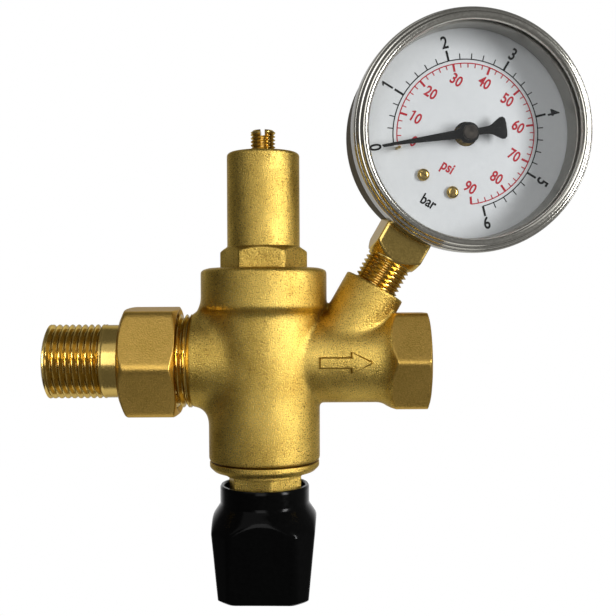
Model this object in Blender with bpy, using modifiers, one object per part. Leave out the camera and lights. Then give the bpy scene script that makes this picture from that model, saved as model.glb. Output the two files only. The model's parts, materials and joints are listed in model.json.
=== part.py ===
"""Pressure reducing valve with union inlet, threaded outlet, shut-off knob and dial gauge.

Frame: metres, +Z up along the spring axis, +X along the flow, gauge dial facing -Y.
Origin: where the flow axis crosses the spring axis.
"""
import math

import bmesh
import bpy
from mathutils import Matrix, Vector

MM = 0.001

# Clearances
GAP = 0.3 * MM
SLIDE_GAP = 0.5 * MM

# Facets of turned pieces
FINE = 40
MEDIUM = 24
COARSE = 12
FILLET_STEPS = 4
CORNER_STEPS = 3
RING_SECTION_STEPS = 8
HULL_STEPS = 16
HUB_ARC_STEPS = 3
SHARP_ANGLE = math.radians(35.0)
WELD = 1e-7
MERGE = 1e-6

# Pipe threads, outside diameter by nominal size
PIPE_THREAD_HALF = 20.955 * MM
PIPE_THREAD_HALF_BORE = 18.631 * MM
PIPE_THREAD_THREE_QUARTER = 26.441 * MM
PIPE_THREAD_QUARTER = 13.157 * MM

# Valve body
BODY_RADIUS = 15.9 * MM
BODY_DRAFT = 0.2 * MM
BODY_BOTTOM = -28.0 * MM
FLANGE_RADIUS = 17.7 * MM
FLANGE_BOTTOM = 14.8 * MM
BODY_TOP = 25.4 * MM
FLANGE_FILLET = 3.3 * MM
FLANGE_FILLET_START = 128.0
CUT_OVER = 1.0 * MM
EDGE_ROUND = 0.7 * MM
INLET_BOSS_RADIUS = 12.9 * MM
INLET_BOSS_END = -20.5 * MM
INLET_SPIGOT_END = -33.0 * MM
BOSS_FLARE = 4.0 * MM
OUTLET_TUBE_RADIUS = 12.0 * MM
OUTLET_TUBE_END = 31.8 * MM
OUTLET_HEX_START = 36.0 * MM
OUTLET_END = 46.2 * MM
OUTLET_HEX_ACROSS = 26.6 * MM
OUTLET_SOCKET_DEPTH = 13.0 * MM
HEX_CORNER_ROUND = 1.6 * MM
END_CHAMFER = 1.0 * MM
ARROW_TAIL = 15.9 * MM
ARROW_NECK = 24.5 * MM
ARROW_TIP = 29.6 * MM
ARROW_HALF_SHAFT = 1.2 * MM
ARROW_HALF_HEAD = 2.7 * MM
ARROW_PROUD = 0.5 * MM

# Passages in the body
PASSAGE_RADIUS = 6.5 * MM
PASSAGE_INNER_END = 12.5 * MM
UPPER_BORE_RADIUS = 8.6 * MM
UPPER_BORE_FLOOR = 1.0 * MM
SEAT_FACE = -4.0 * MM
SEAT_RADIUS = 4.5 * MM
SEAT_LIP = 1.0 * MM
SEAT_WALL_BOTTOM = -3.0 * MM
LOWER_BORE_RADIUS = 8.8 * MM
SHUTOFF_BORE_RADIUS = 10.0 * MM
SHUTOFF_LEDGE = -13.0 * MM
CAP_BORE_RADIUS = 12.3 * MM
CAP_BORE_TOP = -19.0 * MM
GALLERY_RADIUS = 2.0 * MM
CROSS_PORT_RADIUS = 2.8 * MM

# Union inlet
NUT_ACROSS = 29.6 * MM
NUT_CORNER_ROUND = 2.6 * MM
NUT_OPEN_END = -23.8 * MM
NUT_CLOSED_END = -39.7 * MM
NUT_TURN = math.radians(4.2)
NUT_CHAMFER = 2.4 * MM
NUT_OPEN_CHAMFER = 1.4 * MM
NUT_FACE_INSET = 3.84 * MM
NUT_SHOULDER = 2.2 * MM
GASKET_THICKNESS = 1.5 * MM
GASKET_BORE_RADIUS = 6.9 * MM
TAIL_COLLAR_RADIUS = 12.9 * MM
TAIL_END = -60.9 * MM
TAIL_THREAD_LENGTH = 16.3 * MM
TAIL_BORE_RADIUS = 7.5 * MM
TAIL_SHANK_RADIUS = 10.3 * MM
STRAINER_RADIUS = 5.8 * MM
STRAINER_WALL = 0.7 * MM
STRAINER_LENGTH = 16.0 * MM
STRAINER_RIM_RADIUS = 7.3 * MM
STRAINER_RIM = 0.8 * MM
STRAINER_SLOTS = 6
STRAINER_SLOT_WIDTH = 2.4 * MM

# Bonnet, setting screw and spring
BONNET_RADIUS = 10.3 * MM
BONNET_TOP = 58.8 * MM
BONNET_HEX_ACROSS = 21.6 * MM
BONNET_HEX_HEIGHT = 6.3 * MM
BONNET_HEX_CHAMFER = 1.6 * MM
BONNET_THREAD_RADIUS = 10.0 * MM
BONNET_THREAD_LENGTH = 9.6 * MM
BONNET_BORE_RADIUS = 7.9 * MM
BONNET_ROOF = 4.0 * MM
BONNET_EDGE = 1.2 * MM
SETTING_SCREW_RADIUS = 3.5 * MM
SETTING_SCREW_PROUD = 6.4 * MM
SETTING_SCREW_LENGTH = 18.2 * MM
SETTING_SCREW_CHAMFER = 0.7 * MM
SCREW_SLOT_WIDTH = 1.2 * MM
SCREW_SLOT_DEPTH = 1.8 * MM
SPRING_PLATE_RADIUS = 7.4 * MM
SPRING_PLATE_THICKNESS = 2.5 * MM
SPRING_PILOT_RADIUS = 4.4 * MM
SPRING_PILOT_HEIGHT = 2.2 * MM
SPRING_COIL_RADIUS = 6.0 * MM
SPRING_WIRE = 2.0 * MM
SPRING_TURNS = 8
SPRING_POINTS_PER_TURN = 10

# Piston and its disc
PISTON_BOTTOM = 8.0 * MM
PISTON_TOP = 13.5 * MM
PISTON_STEM_RADIUS = 2.5 * MM
RING_SECTION = 1.7 * MM
RING_GROOVE_DEPTH = 1.9 * MM
DISC_OPENING = 1.8 * MM
DISC_SEAL_RADIUS = 6.6 * MM
DISC_SEAL_THICKNESS = 2.0 * MM
DISC_HOLDER_RIM = 0.7 * MM
DISC_HOLDER_FLOOR = 2.0 * MM
DISC_NUT_ACROSS = 8.0 * MM
DISC_NUT_HEIGHT = 3.0 * MM
STEM_OVERHANG = 0.8 * MM

# Shut-off below the disc
SHUTOFF_SEAT_HEIGHT = 3.0 * MM
SHUTOFF_SEAT_RADIUS = 5.0 * MM
SHUTOFF_TRAVEL = 3.6 * MM
PLUNGER_SEAL_RADIUS = 7.0 * MM
PLUNGER_SEAL_THICKNESS = 2.0 * MM
PLUNGER_FLOOR = 2.3 * MM
SPINDLE_RADIUS = 4.0 * MM
SPINDLE_TIP_RADIUS = 2.6 * MM
CAP_RADIUS = 15.5 * MM
CAP_RING = 2.6 * MM
CAP_RING_CHAMFER = 1.2 * MM
CAP_THREAD_RADIUS = 12.0 * MM
CAP_FLOOR = -26.0 * MM
CAP_HEX_ACROSS = 19.0 * MM
CAP_HEX_BOTTOM = -44.0 * MM
CAP_HEX_TURN = math.radians(11.5)

# Shut-off knob
KNOB_TOP = -35.0 * MM
KNOB_BOTTOM = -65.8 * MM
KNOB_COLLAR_RADIUS = 12.6 * MM
KNOB_COLLAR_BOTTOM = -40.3 * MM
KNOB_CONE_RADIUS = 17.6 * MM
KNOB_CONE_BOTTOM = -47.6 * MM
KNOB_FLAT_WIDTH = 18.5 * MM
KNOB_ACROSS_TOP = 28.6 * MM
KNOB_ACROSS_BOTTOM = 25.0 * MM
KNOB_WALL = 1.2 * MM
KNOB_CUP_FLOOR = -49.0 * MM
KNOB_TURN = math.radians(-1.5)
KNOB_SOCKET_END = -62.0 * MM
KNOB_EDGE = 0.8 * MM

# Gauge placed on its inclined boss
GAUGE_TILT = math.radians(30.0)
GAUGE_TURN = math.radians(6.5)
GAUGE_BOSS_X = 19.6 * MM
GAUGE_BOSS_RADIUS = 8.9 * MM
GAUGE_BOSS_LENGTH = 24.1 * MM
GAUGE_BOSS_FLARE = 3.5 * MM
GAUGE_THREAD_BOTTOM = 16.4 * MM
GAUGE_PORT_RADIUS = 2.2 * MM
GAUGE_SQUARE_START = 32.6 * MM
GAUGE_SQUARE = 14.0 * MM
GAUGE_CENTRE = 73.2 * MM
CASE_RADIUS = 31.7 * MM
CASE_WALL = 0.8 * MM
CASE_BACK = -10.0 * MM
CASE_FRONT = 13.0 * MM
CASE_EDGE = 2.0 * MM
BEZEL_RADIUS = CASE_RADIUS + 1.3 * MM
BEZEL_SKIRT = 9.0 * MM
BEZEL_FRONT = 17.0 * MM
BEZEL_STEP = 1.1 * MM
BEZEL_OPENING = CASE_RADIUS - 2.6 * MM
BEZEL_RING_INNER = BEZEL_OPENING + 1.5 * MM
BEZEL_RING_OUTER = BEZEL_RADIUS - 1.05 * MM
BEZEL_RISER = 0.25 * MM
WINDOW_THICKNESS = 1.6 * MM
SPACER_RADIUS = CASE_RADIUS - CASE_WALL - GAP
SPACER_BORE = SPACER_RADIUS - 1.6 * MM
DIAL_FRONT = 5.5 * MM
DIAL_THICKNESS = 0.8 * MM
DIAL_RADIUS = CASE_RADIUS - CASE_WALL - SLIDE_GAP
DIAL_HOLE = 3.4 * MM
DIAL_TURN = math.radians(0.9)
DIAL_SWEEP = math.radians(270.0)
ZERO_LEAD = math.radians(5.5)
DIAL_SCREW_SPREAD = 4.8 * MM
DIAL_SCREW_DROP = 15.9 * MM
DIAL_SCREW_RADIUS = 0.8 * MM
DIAL_SCREW_HEAD = 1.7 * MM
DIAL_SCREW_CROWN = 1.2 * MM
DIAL_SCREW_HEAD_HEIGHT = 0.9 * MM
DIAL_SCREW_LENGTH = 5.0 * MM
STOP_PIN_RADIUS = 0.4 * MM
STOP_PIN_REACH = 20.0 * MM
STOP_PIN_HEIGHT = 4.2 * MM
POINTER_HEIGHT = 3.0 * MM
POINTER_THICKNESS = 0.5 * MM
POINTER_LENGTH = 24.4 * MM
POINTER_TAIL = 10.6 * MM
POINTER_TIP_WIDTH = 0.5 * MM
POINTER_ROOT_WIDTH = 2.4 * MM
POINTER_TAIL_WIDTH = 4.6 * MM
POINTER_HUB_RADIUS = 2.9 * MM
POINTER_HUB_STEPS = 6
POINTER_BUSH_RADIUS = 2.2 * MM
POINTER_BUSH_HEIGHT = 1.6 * MM

# Gauge movement behind the dial
BLOCK_WIDTH = 13.0 * MM
BLOCK_BACK = -5.0 * MM
BLOCK_TOP = -14.0 * MM
GEAR_MODULE = 0.4 * MM
GEAR_DEDENDUM = 0.5 * MM
GEAR_ADDENDUM = 0.32 * MM
TOOTH_ROOT_SPREAD = 0.14 * MM
TOOTH_TIP_INSET = 0.1 * MM
PINION_TEETH = 8
SECTOR_RATIO = 6
SECTOR_MARGIN_TEETH = 1
GEAR_THICKNESS = 1.6 * MM
GEAR_LEVEL = -1.0 * MM
GEAR_BACKLASH = 0.28 * MM
ARBOR_RADIUS = 0.8 * MM
PLATE_THICKNESS = 1.0 * MM
PLATE_SPACING = 4.0 * MM
PLATE_LEVEL = -2.0 * MM
PILLAR_UPPER = 6.0 * MM
PILLAR_LOWER_X = 1.0 * MM
PILLAR_LOWER_DROP = 11.0 * MM
FOOT_SPREAD = 4.0 * MM
PLATE_EDGE = 2.6 * MM
PILLAR_RADIUS = 1.0 * MM
SECTOR_BEARING = math.radians(210.0)
SECTOR_TAIL_BEARING = math.radians(280.0)
SECTOR_TAIL = 7.0 * MM
SECTOR_TAIL_WIDTH = 1.8 * MM
HUB_SHOULDER = math.radians(40.0)
BOURDON_RADIUS = 21.0 * MM
BOURDON_LEVEL = -2.4 * MM
BOURDON_HALF_WIDTH = 1.3 * MM
BOURDON_FLATNESS = 2.2
BOURDON_TIP_BEARING = math.radians(-100.0)
BOURDON_POINTS = 26
TIP_LENGTH = 4.0 * MM
LINK_WIDTH = 1.4 * MM
LINK_THICKNESS = 0.6 * MM
HAIRSPRING_TURNS = 2.5
HAIRSPRING_PITCH = 0.95 * MM
HAIRSPRING_START = 1.5 * MM
HAIRSPRING_WIRE = 0.3 * MM
HAIRSPRING_POINTS = 12

PART_COLLECTION = "pressure_reducing_valve"
CUTTER_COLLECTION = "cutters"


def clear_scene():
    for obj in list(bpy.data.objects):
        bpy.data.objects.remove(obj, do_unlink=True)


def new_collection(name):
    group = bpy.data.collections.new(name)
    bpy.context.scene.collection.children.link(group)
    return group


def new_material(name, colour, roughness, metallic):
    mat = bpy.data.materials.new(name)
    mat.use_nodes = True
    shader = mat.node_tree.nodes["Principled BSDF"]
    shader.inputs["Base Color"].default_value = (*colour, 1.0)
    shader.inputs["Roughness"].default_value = roughness
    shader.inputs["Metallic"].default_value = metallic
    return mat


FINISHES = {
    "cast_brass": ((0.62, 0.44, 0.13), 0.45, 1.0),
    "turned_brass": ((0.78, 0.58, 0.24), 0.25, 1.0),
    "spring_steel": ((0.42, 0.42, 0.43), 0.35, 1.0),
    "bright_steel": ((0.62, 0.61, 0.58), 0.25, 1.0),
    "case_steel": ((0.24, 0.22, 0.19), 0.4, 0.8),
    "black_plastic": ((0.02, 0.02, 0.02), 0.35, 0.0),
    "black_rubber": ((0.03, 0.03, 0.03), 0.8, 0.0),
    "fibre_gasket": ((0.35, 0.12, 0.08), 0.8, 0.0),
    "dial_white": ((0.82, 0.84, 0.84), 0.5, 0.0),
    "pointer_black": ((0.01, 0.01, 0.01), 0.4, 0.0),
    "window_clear": ((0.9, 0.95, 0.95), 0.05, 0.0),
}


def place(obj, finish):
    """Put a finished piece in the part's collection with its own material."""
    parts = bpy.data.collections[PART_COLLECTION]
    for group in list(obj.users_collection):
        group.objects.unlink(obj)
    parts.objects.link(obj)
    obj.data.materials.clear()
    obj.data.materials.append(new_material(obj.name, *FINISHES[finish]))
    return obj


def as_cutter(obj):
    cutters = bpy.data.collections[CUTTER_COLLECTION]
    for group in list(obj.users_collection):
        group.objects.unlink(obj)
    cutters.objects.link(obj)
    obj.hide_render = True
    obj.display_type = "WIRE"
    return obj


def link(name, mesh):
    obj = bpy.data.objects.new(name, mesh)
    bpy.context.scene.collection.objects.link(obj)
    return obj


def axis_matrix(origin, direction):
    """Frame at origin whose local Z runs along direction."""
    turn = Vector(direction).to_track_quat("Z", "Y").to_matrix().to_4x4()
    return Matrix.Translation(origin) @ turn


def baked(obj):
    """Replace an object's mesh by its evaluated form, with its seams welded."""
    bpy.context.view_layer.update()
    graph = bpy.context.evaluated_depsgraph_get()
    mesh = bpy.data.meshes.new_from_object(obj.evaluated_get(graph))
    soft = bmesh.new()
    soft.from_mesh(mesh)
    bmesh.ops.remove_doubles(soft, verts=soft.verts, dist=WELD)
    bmesh.ops.recalc_face_normals(soft, faces=soft.faces)
    soft.to_mesh(mesh)
    soft.free()
    result = link(obj.name, mesh)
    result.matrix_world = obj.matrix_world.copy()
    name = obj.name
    bpy.data.objects.remove(obj, do_unlink=True)
    result.name = name
    mesh.name = name
    return result


def smooth(obj):
    obj.data.shade_smooth()
    obj.data.set_sharp_from_angle(angle=SHARP_ANGLE)
    return obj


def turned(name, profile, frame=None, steps=FINE, closed=False):
    """Solid of revolution: (radius, height) points run down the outer side."""
    mesh = bpy.data.meshes.new(name)
    verts = [(radius, 0.0, height) for radius, height in profile]
    edges = [(i, i + 1) for i in range(len(verts) - 1)]
    if closed:
        edges.append((len(verts) - 1, 0))
    mesh.from_pydata(verts, edges, [])
    obj = link(name, mesh)
    screw = obj.modifiers.new("turn", "SCREW")
    screw.steps = steps
    screw.render_steps = steps
    screw.use_merge_vertices = True
    screw.merge_threshold = MERGE
    screw.use_normal_calculate = True
    if frame is not None:
        obj.matrix_world = frame
    return smooth(baked(obj))


def rod(name, radius, bottom, top, frame=None, steps=FINE):
    return turned(name, [(0.0, top), (radius, top), (radius, bottom), (0.0, bottom)], frame, steps)


def ring(name, bore, radius, bottom, top, frame=None, steps=FINE):
    profile = [(radius, top), (radius, bottom), (bore, bottom), (bore, top)]
    return turned(name, profile, frame, steps, closed=True)


def arc(centre, radius, start, end, count):
    """Points on an arc in the profile plane, angles in degrees from the radius axis."""
    points = []
    for i in range(count + 1):
        angle = math.radians(start + (end - start) * i / count)
        points.append((centre[0] + radius * math.cos(angle), centre[1] + radius * math.sin(angle)))
    return points


def o_ring(name, coil_radius, section, height, frame=None):
    profile = arc((coil_radius, height), section / 2, 90.0, -270.0, RING_SECTION_STEPS)[:-1]
    return turned(name, profile, frame, MEDIUM, closed=True)


def polygon_prism(name, across, sides, bottom, top, frame=None, turn=0.0, corner=0.0):
    """Regular prism, flat to flat size across, with its upright corners rounded."""
    soft = bmesh.new()
    radius = across / 2 / math.cos(math.pi / sides)
    bmesh.ops.create_cone(soft, cap_ends=True, segments=sides, radius1=radius, radius2=radius,
                          depth=top - bottom, matrix=Matrix.Rotation(turn, 4, "Z"))
    if corner > 0.0:
        upright = [e for e in soft.edges if abs(e.verts[0].co.z - e.verts[1].co.z) > MERGE]
        bmesh.ops.bevel(soft, geom=upright, offset=corner, offset_type="OFFSET",
                        segments=CORNER_STEPS, profile=0.5, affect="EDGES")
    bmesh.ops.translate(soft, verts=soft.verts, vec=(0.0, 0.0, (top + bottom) / 2))
    mesh = bpy.data.meshes.new(name)
    soft.to_mesh(mesh)
    soft.free()
    obj = link(name, mesh)
    if frame is not None:
        obj.matrix_world = frame
    return obj


def box(name, low, high, frame=None):
    soft = bmesh.new()
    bmesh.ops.create_cube(soft, size=1.0)
    size = Vector(high) - Vector(low)
    bmesh.ops.scale(soft, verts=soft.verts, vec=size)
    bmesh.ops.translate(soft, verts=soft.verts, vec=(Vector(high) + Vector(low)) / 2)
    mesh = bpy.data.meshes.new(name)
    soft.to_mesh(mesh)
    soft.free()
    obj = link(name, mesh)
    if frame is not None:
        obj.matrix_world = frame
    return obj


def combine(obj, others, operation):
    """Join, cut or intersect a piece with others, which stay behind as cutters."""
    for other in others:
        as_cutter(other)
        boolean = obj.modifiers.new(operation.lower(), "BOOLEAN")
        boolean.operation = operation
        boolean.solver = "EXACT"
        boolean.object = other
    return smooth(baked(obj))


def outline_plate(name, outline, holes, bottom, top, frame=None):
    """Flat plate from an outline and round holes given as (x, y, radius)."""
    curve = bpy.data.curves.new(name, "CURVE")
    curve.dimensions = "2D"
    curve.fill_mode = "BOTH"
    curve.extrude = (top - bottom) / 2
    loops = [outline]
    for x, y, radius in holes:
        loops.append([(x + radius * math.cos(a), y + radius * math.sin(a)) for a in circle_angles(COARSE)])
    for loop in loops:
        spline = curve.splines.new("POLY")
        spline.points.add(len(loop) - 1)
        for point, (x, y) in zip(spline.points, loop):
            point.co = (x, y, 0.0, 1.0)
        spline.use_cyclic_u = True
    obj = link(name, curve)
    lift = Matrix.Translation((0.0, 0.0, (top + bottom) / 2))
    obj.matrix_world = (frame or Matrix.Identity(4)) @ lift
    return smooth(baked(obj))


def circle_angles(count):
    return [2 * math.pi * i / count for i in range(count)]


def hull(circles):
    """Outline drawn tight around a set of (x, y, radius) circles."""
    points = []
    for x, y, radius in circles:
        points += [(x + radius * math.cos(a), y + radius * math.sin(a)) for a in circle_angles(HULL_STEPS)]
    points.sort()
    half = []
    for ordered in (points, points[::-1]):
        chain = []
        for point in ordered:
            while len(chain) > 1 and turn_of(chain[-2], chain[-1], point) <= 1e-12:
                chain.pop()
            chain.append(point)
        half += chain[:-1]
    return half


def turn_of(a, b, c):
    return (b[0] - a[0]) * (c[1] - a[1]) - (b[1] - a[1]) * (c[0] - a[0])


def bearing(angle, reach):
    """Point on the gauge face at an angle clockwise from its upright."""
    return (reach * math.sin(angle), reach * math.cos(angle))


def wire(name, points, thickness, frame=None):
    """One unbroken round wire through points, with closed ends."""
    curve = bpy.data.curves.new(name, "CURVE")
    curve.dimensions = "3D"
    curve.bevel_depth = thickness / 2
    curve.bevel_resolution = 1
    curve.use_fill_caps = True
    spline = curve.splines.new("POLY")
    spline.points.add(len(points) - 1)
    for point, place_at in zip(spline.points, points):
        point.co = (*place_at, 1.0)
    obj = link(name, curve)
    if frame is not None:
        obj.matrix_world = frame
    return smooth(baked(obj))


def least_gap(name, points, thickness, per_turn):
    """Print the smallest clearance between neighbouring turns of a winding."""
    gap = min(
        (Vector(points[i]) - Vector(points[j])).length
        for i in range(len(points))
        for j in range(i + per_turn // 2, len(points))
    )
    print(name, "least gap to itself", round((gap - thickness) / MM, 3), "mm")


def empty(name, frame):
    obj = bpy.data.objects.new(name, None)
    bpy.data.collections[PART_COLLECTION].objects.link(obj)
    obj.matrix_world = frame
    bpy.context.view_layer.update()
    return obj


def hang(obj, finish, parent):
    """Place a piece on its parent empty without moving it."""
    place(obj, finish)
    obj.parent = parent
    obj.matrix_parent_inverse = parent.matrix_world.inverted()
    return obj


GAUGE_AXIS = Vector((math.sin(GAUGE_TILT), 0.0, math.cos(GAUGE_TILT)))
GAUGE_FOOT = Vector((GAUGE_BOSS_X, 0.0, 0.0))
STEM_FRAME = axis_matrix(GAUGE_FOOT, GAUGE_AXIS)


def flow_matrix(turn=0.0):
    """Local Z along the flow, local X kept upright, then turned about the flow."""
    return Matrix.Rotation(math.radians(90.0), 4, "Y") @ Matrix.Rotation(turn, 4, "Z")


def gauge_matrix():
    """Gauge face frame: local Y up from the stem, local Z out of the dial."""
    up = GAUGE_AXIS
    out = Vector((0.0, -1.0, 0.0))
    out.rotate(Matrix.Rotation(GAUGE_TURN, 3, up))
    across = up.cross(out)
    turn = Matrix((across, up, out)).transposed().to_4x4()
    return Matrix.Translation(GAUGE_FOOT + GAUGE_AXIS * GAUGE_CENTRE) @ turn


GAUGE_FRAME = gauge_matrix()


def stem_block_matrix():
    """Stem frame squared to the turned gauge: local Z along the stem."""
    turn = GAUGE_FRAME.to_3x3() @ Matrix.Rotation(math.radians(-90.0), 3, "X")
    return Matrix.Translation(GAUGE_FOOT) @ turn.to_4x4()


def body_shell():
    """Outer form of the cast body: upright barrel with two crossing bosses and a gauge boss."""
    fillet_centre = (BODY_RADIUS + FLANGE_FILLET, FLANGE_BOTTOM - FLANGE_FILLET)
    fillet = arc(fillet_centre, FLANGE_FILLET, FLANGE_FILLET_START, 180.0, FILLET_STEPS)
    barrel = turned("valve_body", [
        (0.0, BODY_TOP),
        (FLANGE_RADIUS - EDGE_ROUND, BODY_TOP),
        (FLANGE_RADIUS, BODY_TOP - EDGE_ROUND),
        (FLANGE_RADIUS, FLANGE_BOTTOM),
        *fillet,
        (BODY_RADIUS - BODY_DRAFT, BODY_BOTTOM),
        (0.0, BODY_BOTTOM),
    ])
    flare_centre = (-BODY_RADIUS - BOSS_FLARE, INLET_BOSS_RADIUS + BOSS_FLARE)
    flare = arc(flare_centre, BOSS_FLARE, 0.0, -90.0, FILLET_STEPS)
    inlet_profile = [(0.0, 0.0), (INLET_BOSS_RADIUS + BOSS_FLARE, 0.0)]
    inlet_profile += [(radius, along) for along, radius in flare]
    inlet_profile += [
        (INLET_BOSS_RADIUS, INLET_BOSS_END),
        (PIPE_THREAD_THREE_QUARTER / 2, INLET_BOSS_END - EDGE_ROUND / 2),
        (PIPE_THREAD_THREE_QUARTER / 2, INLET_SPIGOT_END + END_CHAMFER),
        (PIPE_THREAD_THREE_QUARTER / 2 - END_CHAMFER, INLET_SPIGOT_END),
        (0.0, INLET_SPIGOT_END),
    ]
    inlet = turned("inlet_boss", inlet_profile, flow_matrix())
    corner = OUTLET_HEX_ACROSS / 2 / math.cos(math.pi / 6)
    outlet = turned("outlet_tube", [
        (0.0, OUTLET_HEX_START + END_CHAMFER),
        (corner - END_CHAMFER, OUTLET_HEX_START + END_CHAMFER),
        (corner - END_CHAMFER - GAP, OUTLET_HEX_START - GAP),
        (OUTLET_TUBE_RADIUS, OUTLET_TUBE_END),
        (OUTLET_TUBE_RADIUS, BODY_RADIUS + END_CHAMFER),
        (OUTLET_TUBE_RADIUS + END_CHAMFER, BODY_RADIUS - END_CHAMFER),
        (OUTLET_TUBE_RADIUS + END_CHAMFER, 0.0),
        (0.0, 0.0),
    ], flow_matrix())
    hexagon = polygon_prism("outlet_hex", OUTLET_HEX_ACROSS, 6, OUTLET_HEX_START, OUTLET_END,
                            flow_matrix(), corner=HEX_CORNER_ROUND)
    blank = turned("outlet_hex_blank", [
        (0.0, OUTLET_END),
        (OUTLET_HEX_ACROSS / 2, OUTLET_END),
        (corner, OUTLET_END - END_CHAMFER),
        (corner, OUTLET_HEX_START + END_CHAMFER),
        (corner - END_CHAMFER, OUTLET_HEX_START - GAP),
        (0.0, OUTLET_HEX_START - GAP),
    ], flow_matrix())
    hexagon = combine(hexagon, [blank], "INTERSECT")
    gauge_flare = arc((GAUGE_BOSS_RADIUS + GAUGE_BOSS_FLARE, OUTLET_TUBE_RADIUS + GAUGE_BOSS_FLARE),
                      GAUGE_BOSS_FLARE, 180.0, 270.0, FILLET_STEPS)
    boss = turned("gauge_boss", [
        (0.0, GAUGE_BOSS_LENGTH),
        (GAUGE_BOSS_RADIUS - EDGE_ROUND / 2, GAUGE_BOSS_LENGTH),
        (GAUGE_BOSS_RADIUS, GAUGE_BOSS_LENGTH - EDGE_ROUND / 2),
        *gauge_flare,
        (GAUGE_BOSS_RADIUS, OUTLET_TUBE_RADIUS / 2),
        (0.0, OUTLET_TUBE_RADIUS / 2),
    ], STEM_FRAME, MEDIUM)
    return combine(barrel, [inlet, outlet, hexagon, boss, flow_arrow()], "UNION")


def flow_arrow():
    """Arrow raised on the front of the outlet tube, pointing along the flow."""
    side = [
        (ARROW_TAIL, ARROW_HALF_SHAFT),
        (ARROW_NECK, ARROW_HALF_SHAFT),
        (ARROW_NECK, ARROW_HALF_HEAD),
    ]
    outline = [(along, -up) for along, up in side] + [(ARROW_TIP, 0.0)] + side[::-1]
    front = Matrix.Rotation(math.radians(90.0), 4, "X")
    outside = OUTLET_TUBE_RADIUS + CUT_OVER
    plate = outline_plate("flow_arrow", outline, [], OUTLET_TUBE_RADIUS / 2, outside, front)
    proud = OUTLET_TUBE_RADIUS + ARROW_PROUD
    jacket = rod("arrow_jacket", proud, ARROW_TAIL - CUT_OVER, ARROW_TIP + CUT_OVER, flow_matrix())
    return combine(plate, [jacket], "INTERSECT")


def drilling(name, start, end, radius):
    """Straight drilled hole between two points."""
    direction = Vector(end) - Vector(start)
    return rod(name, radius, 0.0, direction.length, axis_matrix(start, direction), COARSE)


def body_cores():
    """Everything that is bored, cored or drilled out of the body."""
    thread_bore = BONNET_THREAD_RADIUS + GAP
    ledge = BODY_TOP - BONNET_THREAD_LENGTH - GAP
    upright = turned("upright_core", [
        (0.0, BODY_TOP + CUT_OVER),
        (thread_bore, BODY_TOP + CUT_OVER),
        (thread_bore, ledge),
        (UPPER_BORE_RADIUS, ledge),
        (UPPER_BORE_RADIUS, UPPER_BORE_FLOOR),
        (SEAT_RADIUS, UPPER_BORE_FLOOR),
        (SEAT_RADIUS, SEAT_FACE),
        (SEAT_RADIUS + SEAT_LIP, SEAT_FACE),
        (SEAT_RADIUS + SEAT_LIP, SEAT_WALL_BOTTOM),
        (LOWER_BORE_RADIUS, SEAT_WALL_BOTTOM),
        (LOWER_BORE_RADIUS, SHUTOFF_LEDGE),
        (SHUTOFF_BORE_RADIUS, SHUTOFF_LEDGE),
        (SHUTOFF_BORE_RADIUS, CAP_BORE_TOP),
        (CAP_BORE_RADIUS, CAP_BORE_TOP),
        (CAP_BORE_RADIUS, BODY_BOTTOM - CUT_OVER),
        (0.0, BODY_BOTTOM - CUT_OVER),
    ], steps=MEDIUM)
    rim_seat = INLET_SPIGOT_END + STRAINER_RIM + GAP
    inlet = turned("inlet_core", [
        (0.0, -PASSAGE_INNER_END),
        (PASSAGE_RADIUS, -PASSAGE_INNER_END),
        (PASSAGE_RADIUS, rim_seat),
        (STRAINER_RIM_RADIUS + GAP, rim_seat),
        (STRAINER_RIM_RADIUS + GAP, INLET_SPIGOT_END - CUT_OVER),
        (0.0, INLET_SPIGOT_END - CUT_OVER),
    ], flow_matrix(), MEDIUM)
    outlet = turned("outlet_core", [
        (0.0, OUTLET_END + CUT_OVER),
        (PIPE_THREAD_HALF / 2 + CUT_OVER / 2, OUTLET_END + CUT_OVER),
        (PIPE_THREAD_HALF_BORE / 2, OUTLET_END - END_CHAMFER),
        (PIPE_THREAD_HALF_BORE / 2, OUTLET_END - OUTLET_SOCKET_DEPTH),
        (PASSAGE_RADIUS, OUTLET_END - OUTLET_SOCKET_DEPTH),
        (PASSAGE_RADIUS, PASSAGE_INNER_END),
        (0.0, PASSAGE_INNER_END),
    ], flow_matrix(), MEDIUM)
    gallery = drilling("inlet_gallery",
                       (-PASSAGE_INNER_END - PASSAGE_RADIUS / 2, 0.0, -PASSAGE_RADIUS / 2),
                       (-SHUTOFF_BORE_RADIUS + CUT_OVER / 2, 0.0, CAP_BORE_TOP + GALLERY_RADIUS / 2),
                       GALLERY_RADIUS)
    cross_port = drilling("outlet_port",
                          (PASSAGE_INNER_END + PASSAGE_RADIUS / 2, 0.0, UPPER_BORE_FLOOR),
                          (UPPER_BORE_RADIUS / 2, 0.0, (UPPER_BORE_FLOOR + PISTON_BOTTOM) / 2),
                          CROSS_PORT_RADIUS)
    thread = PIPE_THREAD_QUARTER / 2 + GAP
    gauge_port = turned("gauge_port", [
        (0.0, GAUGE_BOSS_LENGTH + CUT_OVER),
        (thread, GAUGE_BOSS_LENGTH + CUT_OVER),
        (thread, GAUGE_THREAD_BOTTOM - GAP),
        (GAUGE_PORT_RADIUS, GAUGE_THREAD_BOTTOM - GAP),
        (GAUGE_PORT_RADIUS, 0.0),
        (0.0, 0.0),
    ], STEM_FRAME, MEDIUM)
    return [upright, inlet, outlet, gallery, cross_port, gauge_port]


def valve_body():
    place(combine(body_shell(), body_cores(), "DIFFERENCE"), "cast_brass")


GASKET_FACE = INLET_SPIGOT_END - GAP
TAIL_FACE = GASKET_FACE - GASKET_THICKNESS - GAP
COLLAR_BACK = NUT_CLOSED_END + NUT_SHOULDER + GAP


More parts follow.
